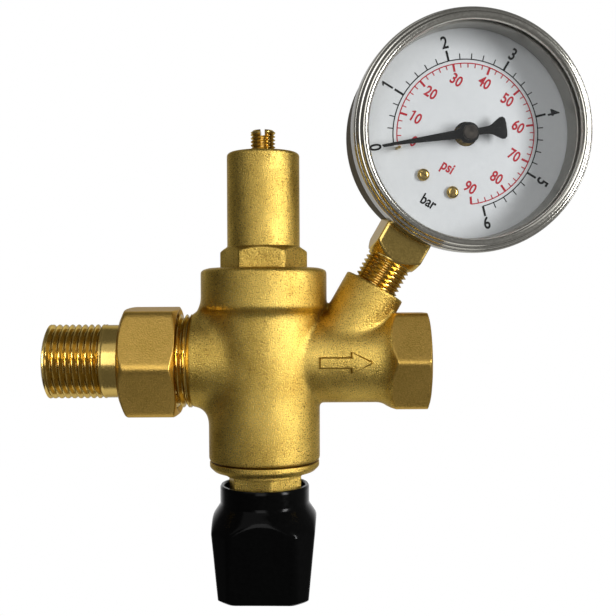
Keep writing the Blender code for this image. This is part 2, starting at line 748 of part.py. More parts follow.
def inlet_tail():
    thread = PIPE_THREAD_HALF / 2
    thread_start = TAIL_END + TAIL_THREAD_LENGTH
    place(turned("inlet_tail", [
        (TAIL_COLLAR_RADIUS, TAIL_FACE),
        (TAIL_COLLAR_RADIUS, COLLAR_BACK),
        (TAIL_SHANK_RADIUS, COLLAR_BACK),
        (TAIL_SHANK_RADIUS, thread_start),
        (thread, thread_start - END_CHAMFER / 2),
        (thread, TAIL_END + END_CHAMFER),
        (thread - END_CHAMFER, TAIL_END),
        (TAIL_BORE_RADIUS, TAIL_END),
        (TAIL_BORE_RADIUS, TAIL_FACE),
    ], flow_matrix(), closed=True), "turned_brass")


def union_nut():
    corner = NUT_ACROSS / 2 / math.cos(math.pi / 6)
    nut = polygon_prism("union_nut", NUT_ACROSS, 6, NUT_CLOSED_END, NUT_OPEN_END,
                        flow_matrix(NUT_TURN), corner=NUT_CORNER_ROUND)
    blank = turned("nut_blank", [
        (0.0, NUT_OPEN_END),
        (NUT_ACROSS / 2, NUT_OPEN_END),
        (corner, NUT_OPEN_END - NUT_OPEN_CHAMFER),
        (corner, NUT_CLOSED_END + NUT_CHAMFER),
        (corner - NUT_CHAMFER / 2, NUT_CLOSED_END + NUT_CHAMFER / 2),
        (corner - NUT_FACE_INSET, NUT_CLOSED_END),
        (0.0, NUT_CLOSED_END),
    ], flow_matrix())
    nut = combine(nut, [blank], "INTERSECT")
    thread = PIPE_THREAD_THREE_QUARTER / 2 + GAP
    shank = TAIL_SHANK_RADIUS + GAP
    core = turned("nut_core", [
        (0.0, NUT_OPEN_END + CUT_OVER),
        (thread, NUT_OPEN_END + CUT_OVER),
        (thread, NUT_CLOSED_END + NUT_SHOULDER),
        (shank, NUT_CLOSED_END + NUT_SHOULDER),
        (shank, NUT_CLOSED_END - CUT_OVER),
        (0.0, NUT_CLOSED_END - CUT_OVER),
    ], flow_matrix())
    place(combine(nut, [core], "DIFFERENCE"), "cast_brass")


def union_gasket():
    place(ring("union_gasket", GASKET_BORE_RADIUS, TAIL_COLLAR_RADIUS, GASKET_FACE - GASKET_THICKNESS,
               GASKET_FACE, flow_matrix(), MEDIUM), "fibre_gasket")


def inlet_strainer():
    rim_back = INLET_SPIGOT_END + STRAINER_RIM
    end = INLET_SPIGOT_END + STRAINER_LENGTH
    bore = STRAINER_RADIUS - STRAINER_WALL
    strainer = turned("inlet_strainer", [
        (0.0, end),
        (STRAINER_RADIUS, end),
        (STRAINER_RADIUS, rim_back),
        (STRAINER_RIM_RADIUS, rim_back),
        (STRAINER_RIM_RADIUS, INLET_SPIGOT_END),
        (bore, INLET_SPIGOT_END),
        (bore, end - STRAINER_WALL),
        (0.0, end - STRAINER_WALL),
    ], flow_matrix(), MEDIUM)
    slots = []
    for i in range(STRAINER_SLOTS):
        frame = flow_matrix(2 * math.pi * i / STRAINER_SLOTS)
        slots.append(box("strainer_slot", (bore / 2, -STRAINER_SLOT_WIDTH / 2, rim_back + CUT_OVER),
                         (STRAINER_RADIUS + CUT_OVER, STRAINER_SLOT_WIDTH / 2, end - 2 * CUT_OVER), frame))
    place(combine(strainer, slots, "DIFFERENCE"), "bright_steel")


BONNET_SEAT = BODY_TOP + GAP


def spring_bonnet():
    hex_top = BONNET_SEAT + BONNET_HEX_HEIGHT
    corner = BONNET_HEX_ACROSS / 2 / math.cos(math.pi / 6)
    hexagon = polygon_prism("spring_bonnet", BONNET_HEX_ACROSS, 6, BONNET_SEAT, hex_top,
                            turn=math.radians(30.0), corner=EDGE_ROUND)
    blank = turned("bonnet_hex_blank", [
        (0.0, hex_top),
        (BONNET_RADIUS + GAP, hex_top),
        (corner, hex_top - BONNET_HEX_CHAMFER),
        (corner, BONNET_SEAT),
        (0.0, BONNET_SEAT),
    ])
    hexagon = combine(hexagon, [blank], "INTERSECT")
    skirt_end = BODY_TOP - BONNET_THREAD_LENGTH
    barrel = turned("bonnet_barrel", [
        (0.0, BONNET_TOP),
        (BONNET_RADIUS - BONNET_EDGE, BONNET_TOP),
        (BONNET_RADIUS, BONNET_TOP - BONNET_EDGE),
        (BONNET_RADIUS, BONNET_SEAT + BONNET_HEX_HEIGHT / 2),
        (BONNET_THREAD_RADIUS, BONNET_SEAT + BONNET_HEX_HEIGHT / 2),
        (BONNET_THREAD_RADIUS, skirt_end),
        (0.0, skirt_end),
    ])
    core = turned("bonnet_core", [
        (0.0, BONNET_TOP + CUT_OVER),
        (SETTING_SCREW_RADIUS + GAP, BONNET_TOP + CUT_OVER),
        (SETTING_SCREW_RADIUS + GAP, BONNET_TOP - BONNET_ROOF),
        (BONNET_BORE_RADIUS, BONNET_TOP - BONNET_ROOF),
        (BONNET_BORE_RADIUS, skirt_end - CUT_OVER),
        (0.0, skirt_end - CUT_OVER),
    ], steps=MEDIUM)
    bonnet = combine(hexagon, [barrel], "UNION")
    place(combine(bonnet, [core], "DIFFERENCE"), "cast_brass")


SCREW_TOP = BONNET_TOP + SETTING_SCREW_PROUD
SCREW_END = SCREW_TOP - SETTING_SCREW_LENGTH
PLATE_TOP = SCREW_END - GAP
PLATE_FACE = PLATE_TOP - SPRING_PLATE_THICKNESS


def adjusting_screw(parent):
    screw = turned("adjusting_screw", [
        (0.0, SCREW_TOP),
        (SETTING_SCREW_RADIUS - SETTING_SCREW_CHAMFER, SCREW_TOP),
        (SETTING_SCREW_RADIUS, SCREW_TOP - SETTING_SCREW_CHAMFER),
        (SETTING_SCREW_RADIUS, SCREW_END + SETTING_SCREW_CHAMFER),
        (SETTING_SCREW_RADIUS - SETTING_SCREW_CHAMFER, SCREW_END),
        (0.0, SCREW_END),
    ], steps=MEDIUM)
    reach = SETTING_SCREW_RADIUS + CUT_OVER
    slot = box("screw_slot", (-reach, -SCREW_SLOT_WIDTH / 2, SCREW_TOP - SCREW_SLOT_DEPTH),
               (reach, SCREW_SLOT_WIDTH / 2, SCREW_TOP + CUT_OVER))
    hang(combine(screw, [slot], "DIFFERENCE"), "turned_brass", parent)


def spring_plate(parent):
    hang(turned("spring_plate", [
        (0.0, PLATE_TOP),
        (SPRING_PLATE_RADIUS, PLATE_TOP),
        (SPRING_PLATE_RADIUS, PLATE_FACE),
        (SPRING_PILOT_RADIUS, PLATE_FACE),
        (SPRING_PILOT_RADIUS - GAP, PLATE_FACE - SPRING_PILOT_HEIGHT),
        (0.0, PLATE_FACE - SPRING_PILOT_HEIGHT),
    ], steps=MEDIUM), "turned_brass", parent)


def regulating_spring():
    bottom = PISTON_TOP + GAP + SPRING_WIRE / 2
    top = PLATE_FACE - GAP - SPRING_WIRE / 2
    count = SPRING_TURNS * SPRING_POINTS_PER_TURN
    points = []
    for i in range(count + 1):
        angle = 2 * math.pi * i / SPRING_POINTS_PER_TURN
        height = bottom + (top - bottom) * i / count
        points.append((SPRING_COIL_RADIUS * math.cos(angle), SPRING_COIL_RADIUS * math.sin(angle), height))
    least_gap("regulating_spring", points, SPRING_WIRE, SPRING_POINTS_PER_TURN)
    place(wire("regulating_spring", points, SPRING_WIRE), "spring_steel")


DISC_TOP = SEAT_FACE - DISC_OPENING
HOLDER_FACE = DISC_TOP - DISC_SEAL_THICKNESS - GAP
HOLDER_BACK = HOLDER_FACE - DISC_HOLDER_FLOOR
NUT_FACE = HOLDER_BACK - GAP
STEM_END = NUT_FACE - DISC_NUT_HEIGHT - STEM_OVERHANG


def groove(radius, middle):
    """Points of a square ring groove in an outer side, running down."""
    half = RING_SECTION / 2 + GAP
    floor = radius - RING_GROOVE_DEPTH
    return [
        (radius, middle + half),
        (floor, middle + half),
        (floor, middle - half),
        (radius, middle - half),
    ]


def groove_ring(name, radius, middle):
    return o_ring(name, radius - RING_GROOVE_DEPTH + GAP + RING_SECTION / 2, RING_SECTION, middle)


def piston(parent):
    head = UPPER_BORE_RADIUS - SLIDE_GAP
    middle = (PISTON_TOP + PISTON_BOTTOM) / 2
    hang(turned("piston", [
        (0.0, PISTON_TOP + SPRING_PILOT_HEIGHT),
        (SPRING_PILOT_RADIUS - GAP, PISTON_TOP + SPRING_PILOT_HEIGHT),
        (SPRING_PILOT_RADIUS, PISTON_TOP),
        (head, PISTON_TOP),
        *groove(head, middle),
        (head, PISTON_BOTTOM),
        (PISTON_STEM_RADIUS, PISTON_BOTTOM),
        (PISTON_STEM_RADIUS, STEM_END),
        (0.0, STEM_END),
    ], steps=MEDIUM), "turned_brass", parent)
    hang(groove_ring("piston_ring", head, middle), "black_rubber", parent)
    bore = PISTON_STEM_RADIUS + GAP
    hang(ring("disc_seal", bore, DISC_SEAL_RADIUS, DISC_TOP - DISC_SEAL_THICKNESS, DISC_TOP, None, MEDIUM),
         "black_rubber", parent)
    rim_bore = DISC_SEAL_RADIUS + GAP
    rim_top = DISC_TOP - DISC_SEAL_THICKNESS / 2
    hang(turned("disc_holder", [
        (rim_bore + DISC_HOLDER_RIM, rim_top),
        (rim_bore + DISC_HOLDER_RIM, HOLDER_BACK),
        (bore, HOLDER_BACK),
        (bore, HOLDER_FACE),
        (rim_bore, HOLDER_FACE),
        (rim_bore, rim_top),
    ], None, MEDIUM, closed=True), "turned_brass", parent)
    nut = polygon_prism("disc_nut", DISC_NUT_ACROSS, 6, NUT_FACE - DISC_NUT_HEIGHT, NUT_FACE)
    hole = rod("disc_nut_hole", bore, NUT_FACE - DISC_NUT_HEIGHT - CUT_OVER, NUT_FACE + CUT_OVER,
               None, COARSE)
    hang(combine(nut, [hole], "DIFFERENCE"), "turned_brass", parent)


SHUTOFF_SEAT_TOP = SHUTOFF_LEDGE - GAP
SHUTOFF_LIP = SHUTOFF_SEAT_TOP - SHUTOFF_SEAT_HEIGHT - SEAT_LIP
PLUNGER_FACE = SHUTOFF_LIP - GAP - SHUTOFF_TRAVEL
PLUNGER_SEAT = PLUNGER_FACE - PLUNGER_SEAL_THICKNESS - GAP
PLUNGER_BACK = PLUNGER_SEAT - PLUNGER_FLOOR
SPINDLE_TIP = PLUNGER_SEAT - 2 * GAP - SPINDLE_RADIUS / 4
SPINDLE_SHOULDER = PLUNGER_BACK - GAP
CAP_SEAT = BODY_BOTTOM - GAP
CAP_RING_BOTTOM = CAP_SEAT - CAP_RING


def shutoff_seat():
    radius = SHUTOFF_BORE_RADIUS - GAP
    base = SHUTOFF_SEAT_TOP - SHUTOFF_SEAT_HEIGHT
    place(turned("shutoff_seat", [
        (radius, SHUTOFF_SEAT_TOP),
        (radius, base),
        (SHUTOFF_SEAT_RADIUS + SEAT_LIP, base),
        (SHUTOFF_SEAT_RADIUS + SEAT_LIP, SHUTOFF_LIP),
        (SHUTOFF_SEAT_RADIUS, SHUTOFF_LIP),
        (SHUTOFF_SEAT_RADIUS, SHUTOFF_SEAT_TOP),
    ], None, MEDIUM, closed=True), "turned_brass")


def shutoff_plunger(parent):
    hang(rod("plunger_seal", PLUNGER_SEAL_RADIUS, PLUNGER_FACE - PLUNGER_SEAL_THICKNESS, PLUNGER_FACE,
             None, MEDIUM), "black_rubber", parent)
    rim_bore = PLUNGER_SEAL_RADIUS + GAP
    rim_top = PLUNGER_FACE - PLUNGER_SEAL_THICKNESS / 2
    tip = SPINDLE_TIP_RADIUS + GAP
    hang(turned("shutoff_plunger", [
        (0.0, PLUNGER_SEAT),
        (rim_bore, PLUNGER_SEAT),
        (rim_bore, rim_top),
        (rim_bore + DISC_HOLDER_RIM, rim_top),
        (rim_bore + DISC_HOLDER_RIM, PLUNGER_BACK),
        (tip, PLUNGER_BACK),
        (tip, SPINDLE_TIP + GAP),
        (0.0, SPINDLE_TIP + GAP),
    ], None, MEDIUM), "turned_brass", parent)


def shutoff_spindle(parent):
    middle = (CAP_RING_BOTTOM + CAP_HEX_BOTTOM) / 2
    hang(turned("shutoff_spindle", [
        (0.0, SPINDLE_TIP),
        (SPINDLE_TIP_RADIUS, SPINDLE_TIP),
        (SPINDLE_TIP_RADIUS, SPINDLE_SHOULDER),
        (SPINDLE_RADIUS, SPINDLE_SHOULDER),
        *groove(SPINDLE_RADIUS, middle),
        (SPINDLE_RADIUS, KNOB_SOCKET_END + GAP),
        (0.0, KNOB_SOCKET_END + GAP),
    ], None, MEDIUM), "turned_brass", parent)
    hang(groove_ring("spindle_ring", SPINDLE_RADIUS, middle), "black_rubber", parent)


def bottom_cap():
    middle = (CAP_SEAT + CAP_FLOOR) / 2
    cap = turned("bottom_cap", [
        (0.0, CAP_FLOOR),
        (SHUTOFF_BORE_RADIUS, CAP_FLOOR),
        (SHUTOFF_BORE_RADIUS, CAP_BORE_TOP - GAP),
        (CAP_THREAD_RADIUS, CAP_BORE_TOP - GAP),
        *groove(CAP_THREAD_RADIUS, middle),
        (CAP_THREAD_RADIUS, CAP_SEAT),
        (CAP_RADIUS, CAP_SEAT),
        (CAP_RADIUS, CAP_RING_BOTTOM + CAP_RING_CHAMFER),
        (CAP_RADIUS - CAP_RING_CHAMFER, CAP_RING_BOTTOM),
        (0.0, CAP_RING_BOTTOM),
    ])
    neck = polygon_prism("cap_neck", CAP_HEX_ACROSS, 6, CAP_HEX_BOTTOM, CAP_RING_BOTTOM + CAP_RING / 2,
                         turn=CAP_HEX_TURN)
    hole = rod("spindle_hole", SPINDLE_RADIUS + GAP, CAP_HEX_BOTTOM - CUT_OVER, CAP_FLOOR + CUT_OVER,
               None, MEDIUM)
    cap = combine(cap, [neck], "UNION")
    place(combine(cap, [hole], "DIFFERENCE"), "cast_brass")
    place(groove_ring("cap_ring", CAP_THREAD_RADIUS, middle), "black_rubber")


def knob_outline(across, height):
    """Square with chamfered corners: flats keep their width as the grip tapers."""
    half = across / 2
    flat = KNOB_FLAT_WIDTH / 2
    corners = [(flat, -half), (half, -flat), (half, flat), (flat, half)]
    corners += [(-x, -y) for x, y in corners]
    return [Vector((x, y, height)) for x, y in corners]


def loft(name, rings, frame):
    """Closed solid through equal rings of points, listed from the lowest up."""
    soft = bmesh.new()
    rows = [[soft.verts.new(point) for point in points] for points in rings]
    for low, high in zip(rows, rows[1:]):
        for i in range(len(low)):
            j = (i + 1) % len(low)
            soft.faces.new((low[i], low[j], high[j], high[i]))
    soft.faces.new(rows[0][::-1])
    soft.faces.new(rows[-1])
    bmesh.ops.recalc_face_normals(soft, faces=soft.faces)
    mesh = bpy.data.meshes.new(name)
    soft.to_mesh(mesh)
    soft.free()
    obj = link(name, mesh)
    obj.matrix_world = frame
    return obj


def shutoff_knob(parent):
    taper = (KNOB_ACROSS_TOP - KNOB_ACROSS_BOTTOM) / (KNOB_CONE_BOTTOM - KNOB_BOTTOM)
    above = KNOB_TOP + CUT_OVER
    below = KNOB_BOTTOM - CUT_OVER
    grip = loft("shutoff_knob", [
        knob_outline(KNOB_ACROSS_BOTTOM - taper * CUT_OVER, below),
        knob_outline(KNOB_ACROSS_TOP, KNOB_CONE_BOTTOM),
        knob_outline(KNOB_ACROSS_TOP + GAP, above),
    ], Matrix.Rotation(KNOB_TURN, 4, "Z"))
    blank = turned("knob_blank", [
        (0.0, KNOB_TOP),
        (KNOB_COLLAR_RADIUS - KNOB_EDGE / 2, KNOB_TOP),
        (KNOB_COLLAR_RADIUS, KNOB_TOP - KNOB_EDGE / 2),
        (KNOB_COLLAR_RADIUS, KNOB_COLLAR_BOTTOM),
        (KNOB_CONE_RADIUS, KNOB_CONE_BOTTOM),
        (KNOB_CONE_RADIUS, KNOB_BOTTOM + 2 * KNOB_EDGE),
        (KNOB_ACROSS_BOTTOM / 2, KNOB_BOTTOM),
        (0.0, KNOB_BOTTOM),
    ])
    knob = combine(grip, [blank], "INTERSECT")
    core = turned("knob_core", [
        (0.0, KNOB_TOP + CUT_OVER),
        (KNOB_COLLAR_RADIUS - KNOB_WALL, KNOB_TOP + CUT_OVER),
        (KNOB_COLLAR_RADIUS - KNOB_WALL, KNOB_CUP_FLOOR),
        (SPINDLE_RADIUS + GAP, KNOB_CUP_FLOOR),
        (SPINDLE_RADIUS + GAP, KNOB_SOCKET_END),
        (0.0, KNOB_SOCKET_END),
    ], steps=MEDIUM)
    hang(combine(knob, [core], "DIFFERENCE"), "black_plastic", parent)


def gauge_socket():
    frame = stem_block_matrix()
    half = GAUGE_SQUARE / 2
    thread = PIPE_THREAD_QUARTER / 2
    shoulder = GAUGE_CENTRE - CASE_RADIUS + CASE_WALL
    stem = turned("gauge_socket", [
        (0.0, GAUGE_SQUARE_START + END_CHAMFER),
        (thread, GAUGE_SQUARE_START + END_CHAMFER),
        (thread, GAUGE_THREAD_BOTTOM + END_CHAMFER),
        (thread - END_CHAMFER, GAUGE_THREAD_BOTTOM),
        (0.0, GAUGE_THREAD_BOTTOM),
    ], frame, MEDIUM)
    square = box("socket_square", (-half, -half, GAUGE_SQUARE_START), (half, half, shoulder), frame)
    corner = half * math.sqrt(2.0)
    blank = turned("socket_blank", [
        (0.0, shoulder + CUT_OVER),
        (corner, shoulder + CUT_OVER),
        (corner, GAUGE_SQUARE_START + corner - half),
        (half, GAUGE_SQUARE_START),
        (0.0, GAUGE_SQUARE_START),
    ], frame, MEDIUM)
    square = combine(square, [blank], "INTERSECT")
    block = box("socket_block", (-BLOCK_WIDTH / 2, -DIAL_FRONT + DIAL_THICKNESS + GAP, shoulder - CUT_OVER),
                (BLOCK_WIDTH / 2, -BLOCK_BACK, GAUGE_CENTRE + BLOCK_TOP), frame)
    stem = combine(stem, [square, block], "UNION")
    port_end = GAUGE_CENTRE + BLOCK_TOP - half / 2
    port = rod("socket_port", GAUGE_PORT_RADIUS, GAUGE_THREAD_BOTTOM - CUT_OVER, port_end, frame, COARSE)
    cuts = [port]
    for side in (-1, 1):
        cuts.append(rod("block_tap", DIAL_SCREW_RADIUS + GAP, DIAL_FRONT - DIAL_SCREW_LENGTH - GAP,
                        DIAL_FRONT + CUT_OVER, dial_screw_frame(side), COARSE))
    place(combine(stem, cuts, "DIFFERENCE"), "turned_brass")


def dial_screw_frame(side):
    return GAUGE_FRAME @ Matrix.Translation((side * DIAL_SCREW_SPREAD, -DIAL_SCREW_DROP, 0.0))


def gauge_case():
    inside = CASE_RADIUS - CASE_WALL
    case = turned("gauge_case", [
        (0.0, CASE_BACK + CASE_WALL),
        (inside - CASE_EDGE, CASE_BACK + CASE_WALL),
        (inside, CASE_BACK + CASE_WALL + CASE_EDGE),
        (inside, CASE_FRONT),
        (CASE_RADIUS, CASE_FRONT),
        (CASE_RADIUS, CASE_BACK + CASE_EDGE),
        (CASE_RADIUS - CASE_EDGE, CASE_BACK),
        (0.0, CASE_BACK),
    ], GAUGE_FRAME)
    half = GAUGE_SQUARE / 2 + GAP
    hole_end = GAUGE_CENTRE - CASE_RADIUS / 2
    hole = box("socket_hole", (-half, -half, GAUGE_SQUARE_START), (half, half, hole_end), stem_block_matrix())
    place(combine(case, [hole], "DIFFERENCE"), "case_steel")


WINDOW_BACK = CASE_FRONT + GAP
WINDOW_FRONT = WINDOW_BACK + WINDOW_THICKNESS
LIP_BACK = WINDOW_FRONT + GAP


def gauge_bezel():
    bore = CASE_RADIUS + GAP
    place(turned("gauge_bezel", [
        (BEZEL_OPENING + BEZEL_STEP / 2, BEZEL_FRONT),
        (BEZEL_RING_INNER, BEZEL_FRONT),
        (BEZEL_RING_INNER + BEZEL_RISER, BEZEL_FRONT - BEZEL_STEP),
        (BEZEL_RING_OUTER, BEZEL_FRONT - BEZEL_STEP),
        (BEZEL_RING_OUTER + BEZEL_RISER, BEZEL_FRONT - 2 * BEZEL_STEP),
        (BEZEL_RADIUS - BEZEL_RISER, BEZEL_FRONT - 2 * BEZEL_STEP),
        (BEZEL_RADIUS, BEZEL_FRONT - 3 * BEZEL_STEP),
        (BEZEL_RADIUS, BEZEL_SKIRT),
        (bore, BEZEL_SKIRT),
        (bore, LIP_BACK),
        (BEZEL_OPENING, LIP_BACK),
        (BEZEL_OPENING, BEZEL_FRONT - BEZEL_STEP / 2),
    ], GAUGE_FRAME, closed=True), "bright_steel")


def gauge_window():
    place(rod("gauge_window", CASE_RADIUS, WINDOW_BACK, WINDOW_FRONT, GAUGE_FRAME), "window_clear")


def dial_spacer():
    place(ring("dial_spacer", SPACER_BORE, SPACER_RADIUS, DIAL_FRONT + GAP, CASE_FRONT, GAUGE_FRAME),
          "bright_steel")


ZERO_BEARING = DIAL_TURN - DIAL_SWEEP / 2 + ZERO_LEAD


def pointer_half_width(reach):
    """Half width of the tapered blade at a reach from its centre."""
    share = (POINTER_LENGTH - reach) / (POINTER_LENGTH - POINTER_HUB_RADIUS)
    return (POINTER_TIP_WIDTH + (POINTER_ROOT_WIDTH - POINTER_TIP_WIDTH) * share) / 2


def stop_pin_place():
    offset = pointer_half_width(STOP_PIN_REACH) + GAP + STOP_PIN_RADIUS
    return bearing(ZERO_BEARING - offset / STOP_PIN_REACH, STOP_PIN_REACH)


def gauge_dial():
    dial = ring("gauge_dial", DIAL_HOLE, DIAL_RADIUS, DIAL_FRONT - DIAL_THICKNESS, DIAL_FRONT, GAUGE_FRAME)
    holes = []
    for side in (-1, 1):
        holes.append(rod("dial_screw_hole", DIAL_SCREW_RADIUS + GAP, DIAL_FRONT - 2 * CUT_OVER,
                         DIAL_FRONT + CUT_OVER, dial_screw_frame(side), COARSE))
    x, y = stop_pin_place()
    pin_frame = GAUGE_FRAME @ Matrix.Translation((x, y, 0.0))
    holes.append(rod("stop_pin_hole", STOP_PIN_RADIUS + GAP, DIAL_FRONT - 2 * CUT_OVER,
                     DIAL_FRONT + CUT_OVER, pin_frame, COARSE))
    place(combine(dial, holes, "DIFFERENCE"), "dial_white")
    place(rod("zero_stop_pin", STOP_PIN_RADIUS, DIAL_FRONT - DIAL_THICKNESS, DIAL_FRONT + STOP_PIN_HEIGHT,
              pin_frame, COARSE), "turned_brass")


def dial_screws():
    for side, name in ((-1, "dial_screw_left"), (1, "dial_screw_right")):
        head = DIAL_FRONT + GAP
        screw = turned(name, [
            (0.0, head + DIAL_SCREW_HEAD_HEIGHT),
            (DIAL_SCREW_CROWN, head + DIAL_SCREW_HEAD_HEIGHT),
            (DIAL_SCREW_HEAD, head + DIAL_SCREW_HEAD_HEIGHT / 3),
            (DIAL_SCREW_HEAD, head),
            (DIAL_SCREW_RADIUS, head),
            (DIAL_SCREW_RADIUS, DIAL_FRONT - DIAL_SCREW_LENGTH),
            (0.0, DIAL_FRONT - DIAL_SCREW_LENGTH),
        ], dial_screw_frame(side), COARSE)
        place(screw, "turned_brass")


POINTER_BACK = DIAL_FRONT + POINTER_HEIGHT
POINTER_FRONT = POINTER_BACK + POINTER_THICKNESS
BUSH_BORE = ARBOR_RADIUS + GAP
BUSH_STEM = BUSH_BORE + GAP
ARBOR_FRONT = POINTER_FRONT + GAP


def pointer_outline():
    """Blade, hub and flared tail, drawn along the zero bearing."""
    hub = POINTER_HUB_RADIUS
    root = math.asin(POINTER_ROOT_WIDTH / 2 / hub)
    side = [(POINTER_LENGTH, POINTER_TIP_WIDTH / 2)]
    for i in range(POINTER_HUB_STEPS + 1):
        angle = root + (math.pi - 2 * root) * i / POINTER_HUB_STEPS
        side.append((hub * math.cos(angle), hub * math.sin(angle)))
    side.append((-POINTER_TAIL, POINTER_TAIL_WIDTH / 2))
    points = side + [(along, -across) for along, across in side[::-1]]
    turn = math.pi / 2 - ZERO_BEARING
    cos, sin = math.cos(turn), math.sin(turn)
    return [(x * cos - y * sin, x * sin + y * cos) for x, y in points]


def gauge_pointer(parent):
    hang(outline_plate("gauge_pointer", pointer_outline(), [(0.0, 0.0, BUSH_STEM + GAP)], POINTER_BACK,
                       POINTER_FRONT, GAUGE_FRAME), "pointer_black", parent)
    head = POINTER_FRONT + GAP
    hang(turned("pointer_bush", [
        (0.0, head + POINTER_BUSH_HEIGHT),
        (POINTER_BUSH_RADIUS - GAP, head + POINTER_BUSH_HEIGHT),
        (POINTER_BUSH_RADIUS, head + POINTER_BUSH_HEIGHT - GAP),
        (POINTER_BUSH_RADIUS, head),
        (BUSH_STEM, head),
        (BUSH_STEM, POINTER_BACK - POINTER_THICKNESS),
        (BUSH_BORE, POINTER_BACK - POINTER_THICKNESS),
        (BUSH_BORE, ARBOR_FRONT + GAP),
        (0.0, ARBOR_FRONT + GAP),
    ], GAUGE_FRAME, MEDIUM), "bright_steel", parent)


PINION_RADIUS = GEAR_MODULE * PINION_TEETH / 2
SECTOR_RADIUS = PINION_RADIUS * SECTOR_RATIO
SECTOR_TEETH_ROUND = PINION_TEETH * SECTOR_RATIO
SECTOR_CENTRE = bearing(SECTOR_BEARING, PINION_RADIUS + SECTOR_RADIUS)
GEAR_TOP = GEAR_LEVEL + GEAR_THICKNESS
REAR_PLATE_BACK = PLATE_LEVEL - PLATE_THICKNESS
FRONT_PLATE_BACK = PLATE_LEVEL + PLATE_SPACING


def tooth(middle, radius):
    """Four corners of one trapezoid tooth at a bearing, listed clockwise."""
    root = radius - GEAR_DEDENDUM
    tip = radius + GEAR_ADDENDUM
    thickness = math.pi * GEAR_MODULE / 2 - GEAR_BACKLASH
    wide = (thickness / 2 + TOOTH_ROOT_SPREAD) / root
    narrow = (thickness / 2 - TOOTH_TIP_INSET) / tip
    return [bearing(middle - wide, root), bearing(middle - narrow, tip),
            bearing(middle + narrow, tip), bearing(middle + wide, root)]


def pointer_arbor(parent):
    """Arbor with its pinion: a tooth gap faces the sector at zero."""
    outline = []
    for i in range(PINION_TEETH):
        outline += tooth(SECTOR_BEARING + 2 * math.pi * (i + 0.5) / PINION_TEETH, PINION_RADIUS)
    pinion = outline_plate("pinion", outline, [], GEAR_LEVEL, GEAR_TOP, GAUGE_FRAME)
    arbor = rod("pointer_arbor", ARBOR_RADIUS, REAR_PLATE_BACK - PLATE_THICKNESS, ARBOR_FRONT,
                GAUGE_FRAME, COARSE)
    hang(combine(arbor, [pinion], "UNION"), "bright_steel", parent)


def sector_outline():
    facing = SECTOR_BEARING - math.pi
    pitch = 2 * math.pi / SECTOR_TEETH_ROUND
    last = round(DIAL_SWEEP / SECTOR_RATIO / pitch) + SECTOR_MARGIN_TEETH
    points = []
    for i in range(-SECTOR_MARGIN_TEETH, last + 1):
        points += tooth(facing + i * pitch, SECTOR_RADIUS)
    hub = ARBOR_RADIUS + GAP + PILLAR_RADIUS
    begin = facing + (last + 1) * pitch
    end = SECTOR_TAIL_BEARING - HUB_SHOULDER
    for i in range(HUB_ARC_STEPS + 1):
        points.append(bearing(begin + (end - begin) * i / HUB_ARC_STEPS, hub))
    half = SECTOR_TAIL_WIDTH / 2 / SECTOR_TAIL
    points.append(bearing(SECTOR_TAIL_BEARING - half, SECTOR_TAIL + SECTOR_TAIL_WIDTH / 2))
    points.append(bearing(SECTOR_TAIL_BEARING + half, SECTOR_TAIL + SECTOR_TAIL_WIDTH / 2))
    points.append(bearing(SECTOR_TAIL_BEARING + HUB_SHOULDER, hub))
    return points


def sector_gear(parent):
    frame = GAUGE_FRAME @ Matrix.Translation((*SECTOR_CENTRE, 0.0))
    holes = [(0.0, 0.0, ARBOR_RADIUS + GAP / 2)]
    gear = outline_plate("sector_gear", sector_outline(), holes, GEAR_LEVEL, GEAR_TOP, frame)
    hang(gear, "turned_brass", parent)
    arbor = rod("sector_arbor", ARBOR_RADIUS - GAP / 2, REAR_PLATE_BACK, FRONT_PLATE_BACK + PLATE_THICKNESS,
                frame, COARSE)
    hang(arbor, "bright_steel", parent)


def movement_frame():
    """Two plates on pillars that carry the pinion and the sector."""
    upper = bearing(SECTOR_BEARING - math.pi, PILLAR_UPPER)
    lower = (PILLAR_LOWER_X, -PILLAR_LOWER_DROP)
    circles = [(*upper, PLATE_EDGE), (*lower, PLATE_EDGE), (*SECTOR_CENTRE, PLATE_EDGE)]
    foot = -BLOCK_TOP - GAP - PLATE_EDGE / 2
    feet = [(side * FOOT_SPREAD, -foot, PLATE_EDGE / 2) for side in (-1, 1)]
    holes = [(0.0, 0.0, ARBOR_RADIUS + GAP), (*SECTOR_CENTRE, ARBOR_RADIUS + GAP)]
    place(outline_plate("movement_rear_plate", hull(circles + feet), holes, REAR_PLATE_BACK,
                        PLATE_LEVEL, GAUGE_FRAME), "turned_brass")
    front = hull([(x, y, PLATE_EDGE - 2 * GAP) for x, y, _ in circles])
    place(outline_plate("movement_front_plate", front, holes, FRONT_PLATE_BACK,
                        FRONT_PLATE_BACK + PLATE_THICKNESS, GAUGE_FRAME), "turned_brass")
    for name, (x, y) in (("movement_pillar_upper", upper), ("movement_pillar_lower", lower)):
        frame = GAUGE_FRAME @ Matrix.Translation((x, y, 0.0))
        place(rod(name, PILLAR_RADIUS, PLATE_LEVEL + GAP, FRONT_PLATE_BACK - GAP, frame, COARSE),
              "turned_brass")


